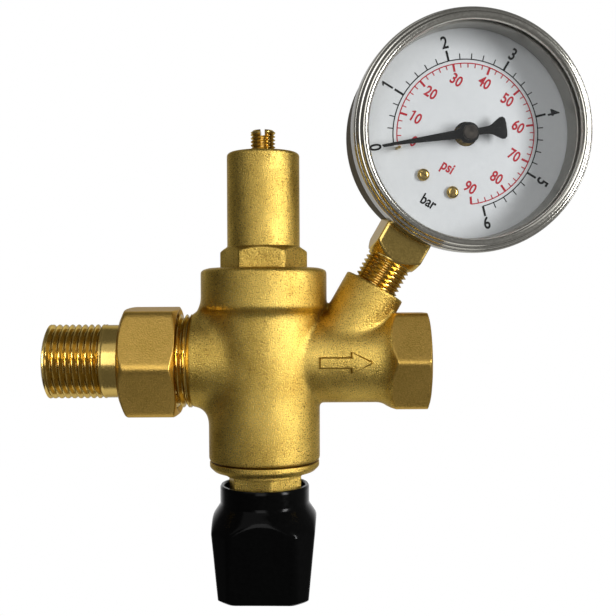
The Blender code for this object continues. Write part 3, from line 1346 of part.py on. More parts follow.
def bourdon_tube():
    """Flattened C tube from the socket block round to its free tip, with tip and link."""
    block_side = BLOCK_WIDTH / 2 + GAP + BOURDON_HALF_WIDTH / 2
    start = math.pi - math.asin(block_side / BOURDON_RADIUS)
    points = []
    for i in range(BOURDON_POINTS):
        angle = start + (BOURDON_TIP_BEARING - start) * i / (BOURDON_POINTS - 1)
        points.append((*bearing(angle, BOURDON_RADIUS), 0.0))
    flat = Matrix.Diagonal((1.0, 1.0, BOURDON_FLATNESS, 1.0))
    frame = GAUGE_FRAME @ Matrix.Translation((0.0, 0.0, BOURDON_LEVEL)) @ flat
    tube = wire("bourdon_tube", points, 2 * BOURDON_HALF_WIDTH, frame)
    tube.data.transform(flat)
    tube.matrix_world = frame @ flat.inverted()
    place(tube, "turned_brass")
    level = GEAR_TOP + GAP
    at = bearing(BOURDON_TIP_BEARING, BOURDON_RADIUS)
    frame = GAUGE_FRAME @ Matrix.Translation((*at, 0.0)) @ Matrix.Rotation(-BOURDON_TIP_BEARING, 4, "Z")
    half = BOURDON_HALF_WIDTH + GAP
    place(box("tube_tip", (-TIP_LENGTH - GAP, -half, BOURDON_LEVEL - half), (-GAP, half, GEAR_TOP), frame),
          "turned_brass")
    tip = frame @ Vector((-TIP_LENGTH / 2, 0.0, 0.0))
    tip = GAUGE_FRAME.inverted() @ tip
    tail = bearing(SECTOR_TAIL_BEARING, SECTOR_TAIL)
    tail = (tail[0] + SECTOR_CENTRE[0], tail[1] + SECTOR_CENTRE[1])
    place(outline_plate("tip_link", hull([(tip.x, tip.y, LINK_WIDTH / 2), (*tail, LINK_WIDTH / 2)]), [],
                        level, level + LINK_THICKNESS, GAUGE_FRAME), "bright_steel")


def hairspring():
    """Flat spiral that keeps the gear teeth in contact."""
    count = round(HAIRSPRING_TURNS * HAIRSPRING_POINTS)
    level = GEAR_TOP + GAP + HAIRSPRING_WIRE
    points = []
    for i in range(count + 1):
        turns = i / HAIRSPRING_POINTS
        points.append((*bearing(2 * math.pi * turns, HAIRSPRING_START + HAIRSPRING_PITCH * turns), level))
    least_gap("hairspring", points, HAIRSPRING_WIRE, HAIRSPRING_POINTS)
    place(wire("hairspring", points, HAIRSPRING_WIRE, GAUGE_FRAME), "spring_steel")


def main():
    clear_scene()
    new_collection(PART_COLLECTION)
    new_collection(CUTTER_COLLECTION)
    spring_axis = empty("spring_axis", Matrix.Identity(4))
    knob_axis = empty("knob_axis", Matrix.Translation((0.0, 0.0, KNOB_BOTTOM)))
    pointer_axis = empty("pointer_axis", GAUGE_FRAME)
    sector_axis = empty("sector_axis", GAUGE_FRAME @ Matrix.Translation((*SECTOR_CENTRE, 0.0)))
    valve_body()
    inlet_tail()
    union_nut()
    union_gasket()
    inlet_strainer()
    spring_bonnet()
    adjusting_screw(spring_axis)
    spring_plate(spring_axis)
    regulating_spring()
    piston(spring_axis)
    shutoff_seat()
    shutoff_plunger(knob_axis)
    shutoff_spindle(knob_axis)
    bottom_cap()
    shutoff_knob(knob_axis)
    gauge_socket()
    gauge_case()
    gauge_bezel()
    gauge_window()
    dial_spacer()
    gauge_dial()
    dial_screws()
    gauge_pointer(pointer_axis)
    pointer_arbor(pointer_axis)
    sector_gear(sector_axis)
    movement_frame()
    bourdon_tube()
    hairspring()


main()
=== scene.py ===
"""Looks of the pressure reducing valve: smooth castings, cut threads, dial print, finishes and studio.

Frame: metres, +Z up along the spring axis, +X along the flow, gauge dial facing -Y.
"""

import json
import math

import bmesh
import bpy
import numpy as np
import openvdb as vdb
from mathutils import Matrix, Vector


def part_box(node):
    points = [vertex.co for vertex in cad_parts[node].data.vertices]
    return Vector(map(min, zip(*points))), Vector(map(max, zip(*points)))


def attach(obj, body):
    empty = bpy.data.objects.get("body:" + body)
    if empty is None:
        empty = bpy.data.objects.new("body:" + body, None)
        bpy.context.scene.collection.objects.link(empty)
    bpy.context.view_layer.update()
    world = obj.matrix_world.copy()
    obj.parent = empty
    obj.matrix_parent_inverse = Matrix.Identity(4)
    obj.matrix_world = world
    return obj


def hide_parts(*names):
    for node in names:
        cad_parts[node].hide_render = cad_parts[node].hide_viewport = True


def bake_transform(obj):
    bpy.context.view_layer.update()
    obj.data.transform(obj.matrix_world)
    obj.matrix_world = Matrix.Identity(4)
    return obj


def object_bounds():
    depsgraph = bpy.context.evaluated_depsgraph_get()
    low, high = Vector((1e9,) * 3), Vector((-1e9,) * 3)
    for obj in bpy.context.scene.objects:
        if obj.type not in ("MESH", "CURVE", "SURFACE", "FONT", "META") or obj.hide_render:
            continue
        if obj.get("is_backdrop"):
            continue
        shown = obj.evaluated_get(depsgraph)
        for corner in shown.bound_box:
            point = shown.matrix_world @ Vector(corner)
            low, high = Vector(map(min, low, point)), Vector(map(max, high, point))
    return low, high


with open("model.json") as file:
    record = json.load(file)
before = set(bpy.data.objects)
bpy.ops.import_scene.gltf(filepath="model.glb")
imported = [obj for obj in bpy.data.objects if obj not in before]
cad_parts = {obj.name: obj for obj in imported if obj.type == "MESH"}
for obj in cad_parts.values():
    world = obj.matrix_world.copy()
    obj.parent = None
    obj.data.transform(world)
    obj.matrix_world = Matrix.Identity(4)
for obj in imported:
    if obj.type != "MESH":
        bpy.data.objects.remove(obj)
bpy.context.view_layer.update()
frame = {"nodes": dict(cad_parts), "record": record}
nodes = frame["nodes"]

MM = 0.001
SHARP_ANGLE = math.radians(32.0)
ROUND_STEPS = 144
THREAD_STEPS = 96
ROWS_PER_PITCH = 10
WELD = 1e-7
FINE_FILLET = 0.2 * MM
TURNED_FILLET = 0.3 * MM
CORNER_LIMIT = 2.2
HEX_ROWS = 40

# Standard threads: outside diameter, pitch and depth
PIPE_HALF = (20.955 * MM, 1.814 * MM, 1.162 * MM)
PIPE_THREE_QUARTER = (26.441 * MM, 1.814 * MM, 1.162 * MM)
PIPE_QUARTER = (13.157 * MM, 1.337 * MM, 0.856 * MM)
SCREW_SEVEN = (7.0 * MM, 1.0 * MM, 0.61 * MM)
THREAD_FLAT = 0.12
THREAD_FADE = 0.8
SPIGOT_FADE = 0.3
TAIL_FADE = 0.6

# Cast body
GRID_STEP = 0.45 * MM
GRID_LOW = Vector((-23.0, -20.0, -30.0)) * MM
GRID_HIGH = Vector((39.0, 20.0, 29.0)) * MM
BARREL_RADIUS = 15.9 * MM
BARREL_DRAFT = 0.2 * MM
FLANGE_RADIUS = 17.7 * MM
FLANGE_BOTTOM = 14.8 * MM
CAST_EDGE = 0.8 * MM
FLANGE_FILLET = 3.2 * MM
INLET_BOSS_RADIUS = 12.9 * MM
INLET_BOSS_END = -20.5 * MM
INLET_FILLET = 5.5 * MM
INLET_FILLET_FRONT = 1.2 * MM
OUTLET_TUBE_RADIUS = 12.0 * MM
OUTLET_FLARE_START = 31.4 * MM
OUTLET_FLARE_END = 37.2 * MM
OUTLET_FLARE_POWER = 2.4
OUTLET_FLARE_ROWS = 12
OUTLET_HEX_START = 36.0 * MM
OUTLET_HEX_LENGTH = 10.0 * MM
OUTLET_HEX_ACROSS = 26.6 * MM
OUTLET_FILLET = 1.2 * MM
SOCKET_DEPTH = 13.0 * MM
PASSAGE_RADIUS = 6.5 * MM
PASSAGE_INNER_END = 12.5 * MM
HEX_CORNER = 1.6 * MM
SOFT_EDGE = 0.5 * MM
STEM_FOOT = Vector((19.6, 0.0, 0.0)) * MM
STEM_TILT = math.radians(30.0)
GAUGE_BOSS_RADIUS = 8.9 * MM
GAUGE_BOSS_TOP = 24.1 * MM
GAUGE_BOSS_FILLET = 1.4 * MM
BONNET_BORE = (10.3 * MM, 15.5 * MM)
UPPER_BORE = (8.6 * MM, 1.0 * MM)
SEAT_BORE = 4.5 * MM
LOWER_BORE = (8.8 * MM, -3.0 * MM)
CAP_BORE = (12.3 * MM, -19.0 * MM)

# Flow arrow raised on the outlet tube
ARROW_TAIL_X = 15.9 * MM
ARROW_NECK_X = 24.5 * MM
ARROW_TIP_X = 29.6 * MM
ARROW_HALF_SHAFT = 1.2 * MM
ARROW_HALF_HEAD = 2.7 * MM
ARROW_PROUD = 0.75 * MM
ARROW_SUNK = 0.25 * MM
ARROW_DRAFT = 0.55 * MM
ARROW_CELLS = 20

# Union
NUT_ACROSS = 29.6 * MM
NUT_CORNER = 2.6 * MM
NUT_TURN = math.radians(4.2)
NUT_CHAMFER = 2.4 * MM
NUT_OPEN_CHAMFER = 1.4 * MM
NUT_FACE_INSET = 3.84 * MM
NUT_SHOULDER = 2.2 * MM
NUT_ROWS = 60
THREAD_GAP = 0.3 * MM
TAIL_BORE = 7.5 * MM
TAIL_SHANK = 10.3 * MM
TAIL_THREAD_LENGTH = 16.3 * MM
TAIL_COLLAR = 12.9 * MM
END_CHAMFER = 1.0 * MM

# Bonnet and setting screw
BONNET_RADIUS = 10.3 * MM
BONNET_HEX_ACROSS = 21.6 * MM
BONNET_HEX_HEIGHT = 6.3 * MM
BONNET_HEX_CHAMFER = 1.6 * MM
BONNET_HEX_CORNER = 0.8 * MM
BONNET_HEX_TURN = math.radians(30.0)
BONNET_FILLET = 0.5 * MM
BONNET_EDGE = 1.3 * MM
BONNET_ROOF = 4.0 * MM
BONNET_INSIDE = 7.9 * MM
BONNET_SKIRT = 10.0 * MM
SCREW_HOLE = 3.8 * MM
SLOT_WIDTH = 1.2 * MM
SLOT_DEPTH = 1.8 * MM
SPRING_COIL = 6.0 * MM
SPRING_WIRE = 2.0 * MM
SPRING_TURNS = 8
SPRING_STEPS = 48
SPRING_SECTION = 16

# Bottom cap and knob
CAP_RADIUS = 15.5 * MM
CAP_RING_TOP = -28.3 * MM
CAP_RING_BOTTOM = -30.9 * MM
CAP_RING_CHAMFER = 1.2 * MM
CAP_COLLAR = 11.0 * MM
CAP_COLLAR_BOTTOM = -32.3 * MM
CAP_HEX_ACROSS = 19.0 * MM
CAP_HEX_CORNER = 0.5 * MM
CAP_HEX_TURN = math.radians(11.5)
CAP_THREAD_RADIUS = 12.0 * MM
CAP_INSIDE = 10.0 * MM
CAP_FLOOR = -26.0 * MM
SPINDLE_HOLE = 4.3 * MM
KNOB_COLLAR = 12.6 * MM
KNOB_COLLAR_BOTTOM = -40.3 * MM
KNOB_CONE = 17.6 * MM
KNOB_CONE_BOTTOM = -47.6 * MM
KNOB_FLAT = 18.5 * MM
KNOB_ACROSS_TOP = 28.6 * MM
KNOB_ACROSS_BOTTOM = 25.0 * MM
KNOB_TURN = math.radians(-1.5)
KNOB_WALL = 1.2 * MM
KNOB_CUP_FLOOR = -49.0 * MM
KNOB_SOCKET_END = -62.0 * MM
KNOB_EDGE = 1.0 * MM
KNOB_CORNER = 0.6 * MM
KNOB_BLEND = 0.7 * MM
KNOB_ROWS = 60

# Gauge, heights along its own axis out of the dial
SQUARE_ACROSS = 14.0 * MM
SQUARE_START = 32.6 * MM
SQUARE_CORNER = 0.6 * MM
STEM_THREAD_BOTTOM = 16.4 * MM
STEM_PORT = 2.2 * MM
STEM_SHOULDER = 42.3 * MM
BLOCK_HALF_WIDTH = 6.5 * MM
BLOCK_FRONT = 4.4 * MM
BLOCK_BACK = -5.0 * MM
BLOCK_BOTTOM = -31.0 * MM
BLOCK_TOP = -14.0 * MM
BLOCK_BEVEL = 0.4 * MM
CASE_RADIUS = 31.7 * MM
CASE_WALL = 0.8 * MM
CASE_BACK = -10.0 * MM
CASE_FRONT = 13.0 * MM
CASE_EDGE = 2.2 * MM
CASE_EDGE_STEPS = 8
BEZEL_RADIUS = 33.0 * MM
BEZEL_SKIRT = 9.0 * MM
BEZEL_FRONT = 17.0 * MM
BEZEL_OPENING = 29.1 * MM
BEZEL_LIP_BACK = 15.2 * MM
BEZEL_FILLET = 0.25 * MM
BEZEL_FILLET_STEPS = 4
BEZEL_RINGS = [
    (33.0 * MM, 3.3 * MM),
    (32.7 * MM, 2.3 * MM),
    (32.3 * MM, 2.2 * MM),
    (32.15 * MM, 1.7 * MM),
    (31.85 * MM, 1.15 * MM),
    (31.35 * MM, 1.1 * MM),
    (31.15 * MM, 0.55 * MM),
    (30.8 * MM, 0.05 * MM),
    (30.0 * MM, 0.0),
    (29.4 * MM, 0.35 * MM),
    (29.1 * MM, 1.0 * MM),
]
DIAL_FRONT = 5.5 * MM
DIAL_THICKNESS = 0.8 * MM
DIAL_RADIUS = 30.4 * MM
DIAL_HOLE = 3.4 * MM
DIAL_FILLET = 0.1 * MM
SPACER_BORE = 29.0 * MM
SPACER_RADIUS = 30.6 * MM
PRINT_HEIGHT = 0.06 * MM
PRINT_SUNK = 0.02 * MM
DIAL_TURN = math.radians(0.9)
DIAL_SWEEP = math.radians(270.0)
ZERO_LEAD = math.radians(5.5)
BAR_FULL = 6
BAR_STEPS = 5
BAR_ARC = 20.6 * MM
BAR_MAJOR = 23.5 * MM
BAR_MINOR = 22.2 * MM
BAR_LABEL = 25.6 * MM
BAR_HEIGHT = 3.4 * MM
PSI_FULL = 90
PSI_LABEL_STEP = 10
PSI_STEP = 2
PSI_PER_BAR = 14.5038
PSI_ARC = 19.5 * MM
PSI_MAJOR = 17.4 * MM
PSI_MINOR = 18.3 * MM
PSI_LABEL = 15.0 * MM
PSI_HEIGHT = 3.0 * MM
ARC_WIDTH = 0.3 * MM
ARC_STEPS = 120
MAJOR_WIDTH = 0.6 * MM
MINOR_WIDTH = 0.28 * MM
LETTER_NARROW = 0.82
LETTER_WEIGHT = 0.022
CAPITAL_SHARE = 0.72
FLAG = [(0.08, 0.0), (-0.17, -0.15), (-0.17, -0.27), (0.08, -0.17)]
UNIT_HEIGHT = 3.0 * MM
PSI_UNIT = (0.2 * MM, -10.5 * MM)
BAR_UNIT = (0.3 * MM, -21.6 * MM)
POINTER_BACK = 8.5 * MM
POINTER_THICKNESS = 0.5 * MM
POINTER_BEVEL = 0.06 * MM
POINTER_HUB = 2.9 * MM
POINTER_HUB_ARC = (0.45, 2.8)
POINTER_HUB_POINTS = 16
POINTER_TIP = (24.4 * MM, 0.25 * MM)
POINTER_FAN = [
    (-3.4 * MM, 0.95 * MM),
    (-5.6 * MM, 1.05 * MM),
    (-6.6 * MM, 1.4 * MM),
    (-8.0 * MM, 2.35 * MM),
    (-9.1 * MM, 3.0 * MM),
    (-9.9 * MM, 3.05 * MM),
    (-10.5 * MM, 2.5 * MM),
    (-10.7 * MM, 1.2 * MM),
]
SCREW_HEAD_RADIUS = 1.7 * MM
SCREW_HEAD_HEIGHT = 0.9 * MM
SCREW_HEAD_SLOT = 0.4 * MM
SCREW_CROWN = (0.6, 0.2)
SCREW_SLOT_TURN = (35.0, 40.0)
SCREW_STEPS = 48
SCREW_SHANK = 0.8 * MM
SCREW_LENGTH = 5.0 * MM
SCREW_SPREAD = 4.8 * MM
SCREW_DROP = 15.9 * MM

# Camera as the photograph was taken
CAMERA_PLACE = (11.7 * MM, -265.0 * MM, 18.5 * MM)
CAMERA_LENS = 54.47
CAMERA_SHIFT = (0.0049, -0.0211)
CAMERA_ROLL = math.radians(0.3)
CAMERA_CLIP = 0.01

# Studio
ROOM_LEFT = 0.09
ROOM_RIGHT = 0.20
BACKDROP_EDGE = 0.55
BACKDROP_FULL = 0.85
FLOOR_RADIUS = 0.16
FLOOR_BACK = 0.13
FLOOR_DROP = 0.16
FLOOR_GLOW = 0.40
FLOOR_GRAIN = 400.0
FLOOR_ROUGHNESS = 0.9
FLOOR_TONES = ((0.80, 0.80, 0.80), (0.83, 0.83, 0.83))
LAMP_TARGET = Vector((0.01, 0.0, 0.02))
LAMPS = [
    ("right_box", (0.55, -0.38, 0.09), (0.14, 0.38), 3.4),
    ("front_box", (-0.10, -0.75, 0.16), (0.34, 0.54), 1.3),
    ("top_box", (-0.22, -0.46, 0.42), (0.7, 0.40), 0.42),
]

# Finishes: name, dark and light tone, roughness, grain in cells per metre and its depth,
# then metallic share, gloss and reflectance near the rim
METAL = 1.0
MATTE = 0.0
PLAIN_GLOSS = 0.5
FINISHES = {
    "cast": ("cast_brass", (0.36, 0.215, 0.033), (0.96, 0.68, 0.168),
             (0.24, 0.38), 3200.0, 0.20 * MM, METAL, PLAIN_GLOSS, 0.4),
    "hex": ("hex_brass", (0.58, 0.365, 0.074), (0.84, 0.54, 0.138),
            (0.30, 0.44), 2600.0, 0.08 * MM, METAL, PLAIN_GLOSS, 0.4),
    "turned": ("turned_brass", (0.66, 0.46, 0.125), (0.84, 0.59, 0.18),
               (0.16, 0.26), 2400.0, 0.012 * MM, METAL, PLAIN_GLOSS, 0.4),
    "spring": ("spring_steel", (0.34, 0.34, 0.35), (0.46, 0.46, 0.47),
               (0.28, 0.4), 2000.0, 0.01 * MM),
    "bright": ("bright_steel", (0.62, 0.60, 0.54), (0.76, 0.74, 0.67),
               (0.13, 0.22), 1800.0, 0.008 * MM, METAL, PLAIN_GLOSS, 0.35),
    "spacer": ("spacer_steel", (0.34, 0.33, 0.30), (0.44, 0.43, 0.39),
               (0.34, 0.44), 1800.0, 0.008 * MM),
    "hub": ("hub_metal", (0.035, 0.03, 0.026), (0.075, 0.065, 0.055),
            (0.30, 0.42), 900.0, 0.02 * MM),
    "case": ("case_steel", (0.27, 0.245, 0.205), (0.36, 0.335, 0.28),
             (0.34, 0.44), 1500.0, 0.01 * MM, METAL, PLAIN_GLOSS, 0.1),
    "plastic": ("black_plastic", (0.001, 0.001, 0.001), (0.002, 0.002, 0.002),
                (0.12, 0.20), 900.0, 0.01 * MM, MATTE, 0.1),
    "rubber": ("black_rubber", (0.012, 0.012, 0.012), (0.025, 0.025, 0.025),
               (0.6, 0.8), 1500.0, 0.03 * MM, MATTE),
    "fibre": ("fibre_gasket", (0.26, 0.08, 0.05), (0.36, 0.13, 0.09),
              (0.7, 0.9), 1200.0, 0.05 * MM, MATTE),
    "dial": ("dial_white", (0.68, 0.705, 0.72), (0.72, 0.745, 0.76),
             (0.42, 0.52), 700.0, 0.004 * MM, MATTE, 0.2),
    "ink_black": ("ink_black", (0.002, 0.002, 0.002), (0.005, 0.005, 0.005),
                  (0.4, 0.55), 1500.0, 0.004 * MM, MATTE, 0.05),
    "ink_red": ("ink_red", (0.42, 0.014, 0.027), (0.50, 0.02, 0.037),
                (0.4, 0.55), 1500.0, 0.004 * MM, MATTE, 0.1),
}
PATCHES = 90.0
NOISE_SPAN = (0.3, 0.7)
PATCH_SHARE = 0.4
GRAIN_SHARE = 0.6
GRAIN_DETAIL = 3.0
TONE_SPAN = (0.1, 0.9)
GLASS_ALPHA = 0.015
GLASS_IOR = 1.5
GLASS_TONES = ((0.82, 0.85, 0.86), (0.9, 0.92, 0.93))
GLASS_ROUGHNESS = (0.03, 0.07)
SMUDGES = 60.0


def flow_frame(turn=0.0):
    """Local Z along the flow, local X pointing down, then turned about the flow."""
    return Matrix.Rotation(math.radians(90.0), 4, "Y") @ Matrix.Rotation(turn, 4, "Z")


def gauge_frame():
    """Local Y up from the stem, local Z out of the dial, from the pointer's hinge."""
    joint = next(j for j in frame["record"]["behaviour"]["joints"] if j["name"] == "pointer_turn")
    out = -Vector(joint["axis"]).normalized()
    across = STEM_AXIS.cross(out).normalized()
    up = out.cross(across)
    turn = Matrix((across, up, out)).transposed().to_4x4()
    return Matrix.Translation(joint["pos_m"]) @ turn


STEM_AXIS = Vector((math.sin(STEM_TILT), 0.0, math.cos(STEM_TILT)))
GAUGE = gauge_frame()
STEM_TURN = GAUGE.to_3x3() @ Matrix.Rotation(math.radians(-90.0), 3, "X")
STEM = Matrix.Translation(STEM_FOOT) @ STEM_TURN.to_4x4()


def linked(name, data):
    obj = bpy.data.objects.new(name, data)
    bpy.context.scene.collection.objects.link(obj)
    return obj


def baked(name, soft):
    """Mesh of what was modelled, which is then let go."""
    mesh = bpy.data.meshes.new(name)
    soft.to_mesh(mesh)
    soft.free()
    return mesh


def evaluated(obj):
    """Mesh of an object with its modifiers or its letters worked out."""
    bpy.context.view_layer.update()
    graph = bpy.context.evaluated_depsgraph_get()
    return bpy.data.meshes.new_from_object(obj.evaluated_get(graph))


def finished(name, mesh, placed=None):
    """Object with smooth faces between its sharp edges, its place baked into the mesh."""
    mesh.validate()
    if placed is not None:
        mesh.transform(placed)
    soft = bmesh.new()
    soft.from_mesh(mesh)
    bmesh.ops.remove_doubles(soft, verts=soft.verts, dist=WELD)
    bmesh.ops.recalc_face_normals(soft, faces=soft.faces)
    soft.to_mesh(mesh)
    soft.free()
    mesh.shade_smooth()
    mesh.set_sharp_from_angle(angle=SHARP_ANGLE)
    return linked(name, mesh)


def soft_min(a, b, width=SOFT_EDGE):
    share = np.clip(0.5 + 0.5 * (b - a) / width, 0.0, 1.0)
    return b * (1.0 - share) + a * share - width * share * (1.0 - share)


def angles(count=ROUND_STEPS):
    return np.arange(count) * 2.0 * math.pi / count


def polygon_radius(sides, across, corner, turn=0.0):
    """Radius of a regular polygon with rounded corners at every angle round the axis."""
    half = across / 2
    sector = 2.0 * math.pi / sides
    off = np.abs((angles() - turn + sector / 2) % sector - sector / 2)
    centre = (half - corner) / math.cos(sector / 2)
    away = sector / 2 - off
    straight = half / np.cos(off)
    inside = np.clip(corner ** 2 - (centre * np.sin(away)) ** 2, 0.0, None)
    rounded_corner = centre * np.cos(away) + np.sqrt(inside)
    on_flat = half * np.tan(off) <= (half - corner) * math.tan(sector / 2)
    return np.where(on_flat, straight, rounded_corner)


def rounded(profile, fillet, steps=5):
    """Profile of (height, radius) points with every inner corner rounded."""
    points = [Vector(p) for p in profile]
    rows = [tuple(points[0])]
    for before, corner, after in zip(points, points[1:], points[2:]):
        back = before - corner
        ahead = after - corner
        reach = min(fillet, back.length / CORNER_LIMIT, ahead.length / CORNER_LIMIT)
        start = corner + back.normalized() * reach
        end = corner + ahead.normalized() * reach
        for i in range(steps + 1):
            t = i / steps
            rows.append(tuple(start * (1 - t) ** 2 + corner * 2 * t * (1 - t) + end * t ** 2))
    rows.append(tuple(points[-1]))
    return rows


def lathe(name, rows, placed=None, loop=False, count=None):
    """Surface round an axis through rows of (height, radius), with one radius or one for each angle."""
    sizes = [np.size(radius) for _, radius in rows]
    count = count or max(max(sizes), ROUND_STEPS)
    turn = angles(count)
    cos, sin = np.cos(turn), np.sin(turn)
    verts = []
    for height, radius in rows:
        radius = np.broadcast_to(np.asarray(radius, dtype=float), (count,))
        level = np.full(count, height)
        verts.append(np.stack((radius * cos, radius * sin, level), axis=1))
    verts = np.concatenate(verts)
    faces = []
    last = len(rows) if loop else len(rows) - 1
    for i in range(last):
        j = (i + 1) % len(rows)
        for k in range(count):
            m = (k + 1) % count
            faces.append((i * count + k, i * count + m, j * count + m, j * count + k))
    if not loop:
        faces.append(tuple(range(count))[::-1])
        faces.append(tuple(range((len(rows) - 1) * count, len(rows) * count)))
    mesh = bpy.data.meshes.new(name)
    mesh.from_pydata(verts.tolist(), [], faces)
    return finished(name, mesh, placed)


def thread_rows(thread, start, end, inner=False, fade=THREAD_FADE):
    """Rows of a helical thread: the groove deepens from nothing at both ends."""
    diameter, pitch, depth = thread
    count = max(int(abs(end - start) / pitch * ROWS_PER_PITCH), 4)
    turn = angles(THREAD_STEPS)
    rows = []
    for i in range(count + 1):
        height = start + (end - start) * i / count
        phase = (height / pitch - turn / (2.0 * math.pi)) % 1.0
        wave = np.clip(np.abs(phase - 0.5) * 2.0, THREAD_FLAT, 1.0 - THREAD_FLAT)
        wave = (wave - THREAD_FLAT) / (1.0 - 2.0 * THREAD_FLAT)
        ends = min(abs(height - start), abs(end - height)) / (fade * pitch)
        cut = depth * wave * min(max(ends, 0.0), 1.0)
        rows.append((height, diameter / 2 - depth + cut if inner else diameter / 2 - cut))
    return rows


def piece(obj, body, slot, *replaced):
    """Let a piece ride on its body and stand for CAD nodes; the finish name it is given is not used."""
    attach(obj, body)
    if replaced:
        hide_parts(*replaced)
    return obj


def box_between(name, low, high, placed, bevel):
    soft = bmesh.new()
    bmesh.ops.create_cube(soft, size=1.0)
    bmesh.ops.scale(soft, verts=soft.verts, vec=Vector(high) - Vector(low))
    bmesh.ops.translate(soft, verts=soft.verts, vec=(Vector(high) + Vector(low)) / 2)
    if bevel > 0.0:
        bmesh.ops.bevel(soft, geom=soft.edges, offset=bevel, segments=3, profile=0.5, affect="EDGES")
    return finished(name, baked(name, soft), placed)


def cut_away(obj, tool):
    """Cut one mesh out of another and drop the tool."""
    boolean = obj.modifiers.new("cut", "BOOLEAN")
    boolean.operation = "DIFFERENCE"
    boolean.solver = "EXACT"
    boolean.object = tool
    mesh = evaluated(obj)
    name = obj.name
    for spent in (obj, tool):
        bpy.data.objects.remove(spent, do_unlink=True)
    mesh.name = name
    return finished(name, mesh)


def capped(along, radial, low, high, radius, edge):
    """Signed distance to a cylinder with rounded rims."""
    side = radial - radius + edge
    end = np.abs(along - (low + high) / 2) - (high - low) / 2 + edge
    outside = np.hypot(np.maximum(side, 0.0), np.maximum(end, 0.0))
    return np.minimum(np.maximum(side, end), 0.0) + outside - edge


def outlet_corner():
    """Reach of the outlet hexagon's rounded corner."""
    return (OUTLET_HEX_ACROSS / 2 - HEX_CORNER) / math.cos(math.pi / 6) + HEX_CORNER


def flare_radius(x):
    """Turned flare from the outlet tube to the corners of its hexagon."""
    share = np.clip((x - OUTLET_FLARE_START) / (OUTLET_FLARE_END - OUTLET_FLARE_START), 0.0, 1.0)
    rise = outlet_corner() + 2 * SOFT_EDGE - OUTLET_TUBE_RADIUS
    return OUTLET_TUBE_RADIUS + rise * share ** OUTLET_FLARE_POWER


def cast_body():
    """Barrel, flange and three bosses run into one another with cast fillets, and the bores inside."""
    counts = [int(round((high - low) / GRID_STEP)) + 1 for low, high in zip(GRID_LOW, GRID_HIGH)]
    sides = [low + GRID_STEP * np.arange(n) for low, n in zip(GRID_LOW, counts)]
    x, y, z = np.meshgrid(*sides, indexing="ij")
    upright = np.hypot(x, y)
    level = np.hypot(y, z)
    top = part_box("valve_body")[1][2]
    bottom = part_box("valve_body")[0][2]
    taper = BARREL_RADIUS - BARREL_DRAFT * (top - z) / (top - bottom)
    skin = capped(z, upright + BARREL_RADIUS - taper, bottom, top, BARREL_RADIUS, CAST_EDGE)
    flange = capped(z, upright, FLANGE_BOTTOM, top, FLANGE_RADIUS, CAST_EDGE)
    skin = soft_min(skin, flange, FLANGE_FILLET)
    inlet = capped(x, level, INLET_BOSS_END, 0.0, INLET_BOSS_RADIUS, CAST_EDGE)
    upward = (z / np.maximum(level, GRID_STEP)) ** 2
    skin = soft_min(skin, inlet, INLET_FILLET_FRONT + (INLET_FILLET - INLET_FILLET_FRONT) * upward)
    sector = math.pi / 3
    off_flat = np.abs((np.arctan2(y, -z) + sector / 2) % sector - sector / 2)
    hexagon = np.minimum(OUTLET_HEX_ACROSS / 2 / np.cos(off_flat), outlet_corner())
    tube_radius = soft_min(flare_radius(x), hexagon)
    tube = capped(x, level + OUTLET_TUBE_RADIUS - tube_radius, 0.0, OUTLET_HEX_START + SOFT_EDGE,
                  OUTLET_TUBE_RADIUS, SOFT_EDGE)
    skin = soft_min(skin, tube, OUTLET_FILLET)
    along = (x - STEM_FOOT.x) * STEM_AXIS.x + z * STEM_AXIS.z
    off = np.hypot((x - STEM_FOOT.x) * STEM_AXIS.z - z * STEM_AXIS.x, y)
    boss = capped(along, off, 0.0, GAUGE_BOSS_TOP, GAUGE_BOSS_RADIUS, SOFT_EDGE)
    skin = soft_min(skin, boss, GAUGE_BOSS_FILLET)
    socket_start = OUTLET_HEX_START + OUTLET_HEX_LENGTH - SOCKET_DEPTH
    socket = np.where(x > socket_start, PIPE_HALF[0] / 2 - SOFT_EDGE, PASSAGE_RADIUS)
    hollows = [
        np.maximum(level - socket, PASSAGE_INNER_END - x),
        np.maximum(level - PASSAGE_RADIUS, x + PASSAGE_INNER_END),
        np.maximum(upright - BONNET_BORE[0], BONNET_BORE[1] - z),
        np.maximum(upright - UPPER_BORE[0], UPPER_BORE[1] - z),
        upright - SEAT_BORE,
        np.maximum(upright - LOWER_BORE[0], z - LOWER_BORE[1]),
        np.maximum(upright - CAP_BORE[0], z - CAP_BORE[1]),
        np.maximum(off - PIPE_QUARTER[0] / 2 - THREAD_GAP, STEM_THREAD_BOTTOM - along),
    ]
    for hollow in hollows:
        skin = np.maximum(skin, -hollow)
    grid = vdb.FloatGrid(GRID_STEP)
    grid.copyFromArray(skin.astype(np.float32))
    points, quads = grid.convertToQuads(isovalue=0.0)
    mesh = bpy.data.meshes.new("cast_body")
    verts = np.asarray(points) * GRID_STEP + np.asarray(GRID_LOW)
    mesh.from_pydata(verts.tolist(), [], np.asarray(quads).tolist())
    return piece(finished("cast_body", mesh), "valve", "cast_brass", "valve_body")


def hex_rows(outline, blank, low, high, count=HEX_ROWS):
    """Rows of a prism turned down at its ends: blank gives (height, radius) of the turned form."""
    heights, radii = zip(*blank)
    rows = []
    for i in range(count + 1):
        height = low + (high - low) * 0.5 * (1.0 - math.cos(math.pi * i / count))
        rows.append((height, soft_min(outline, np.interp(height, heights, radii))))
    return rows


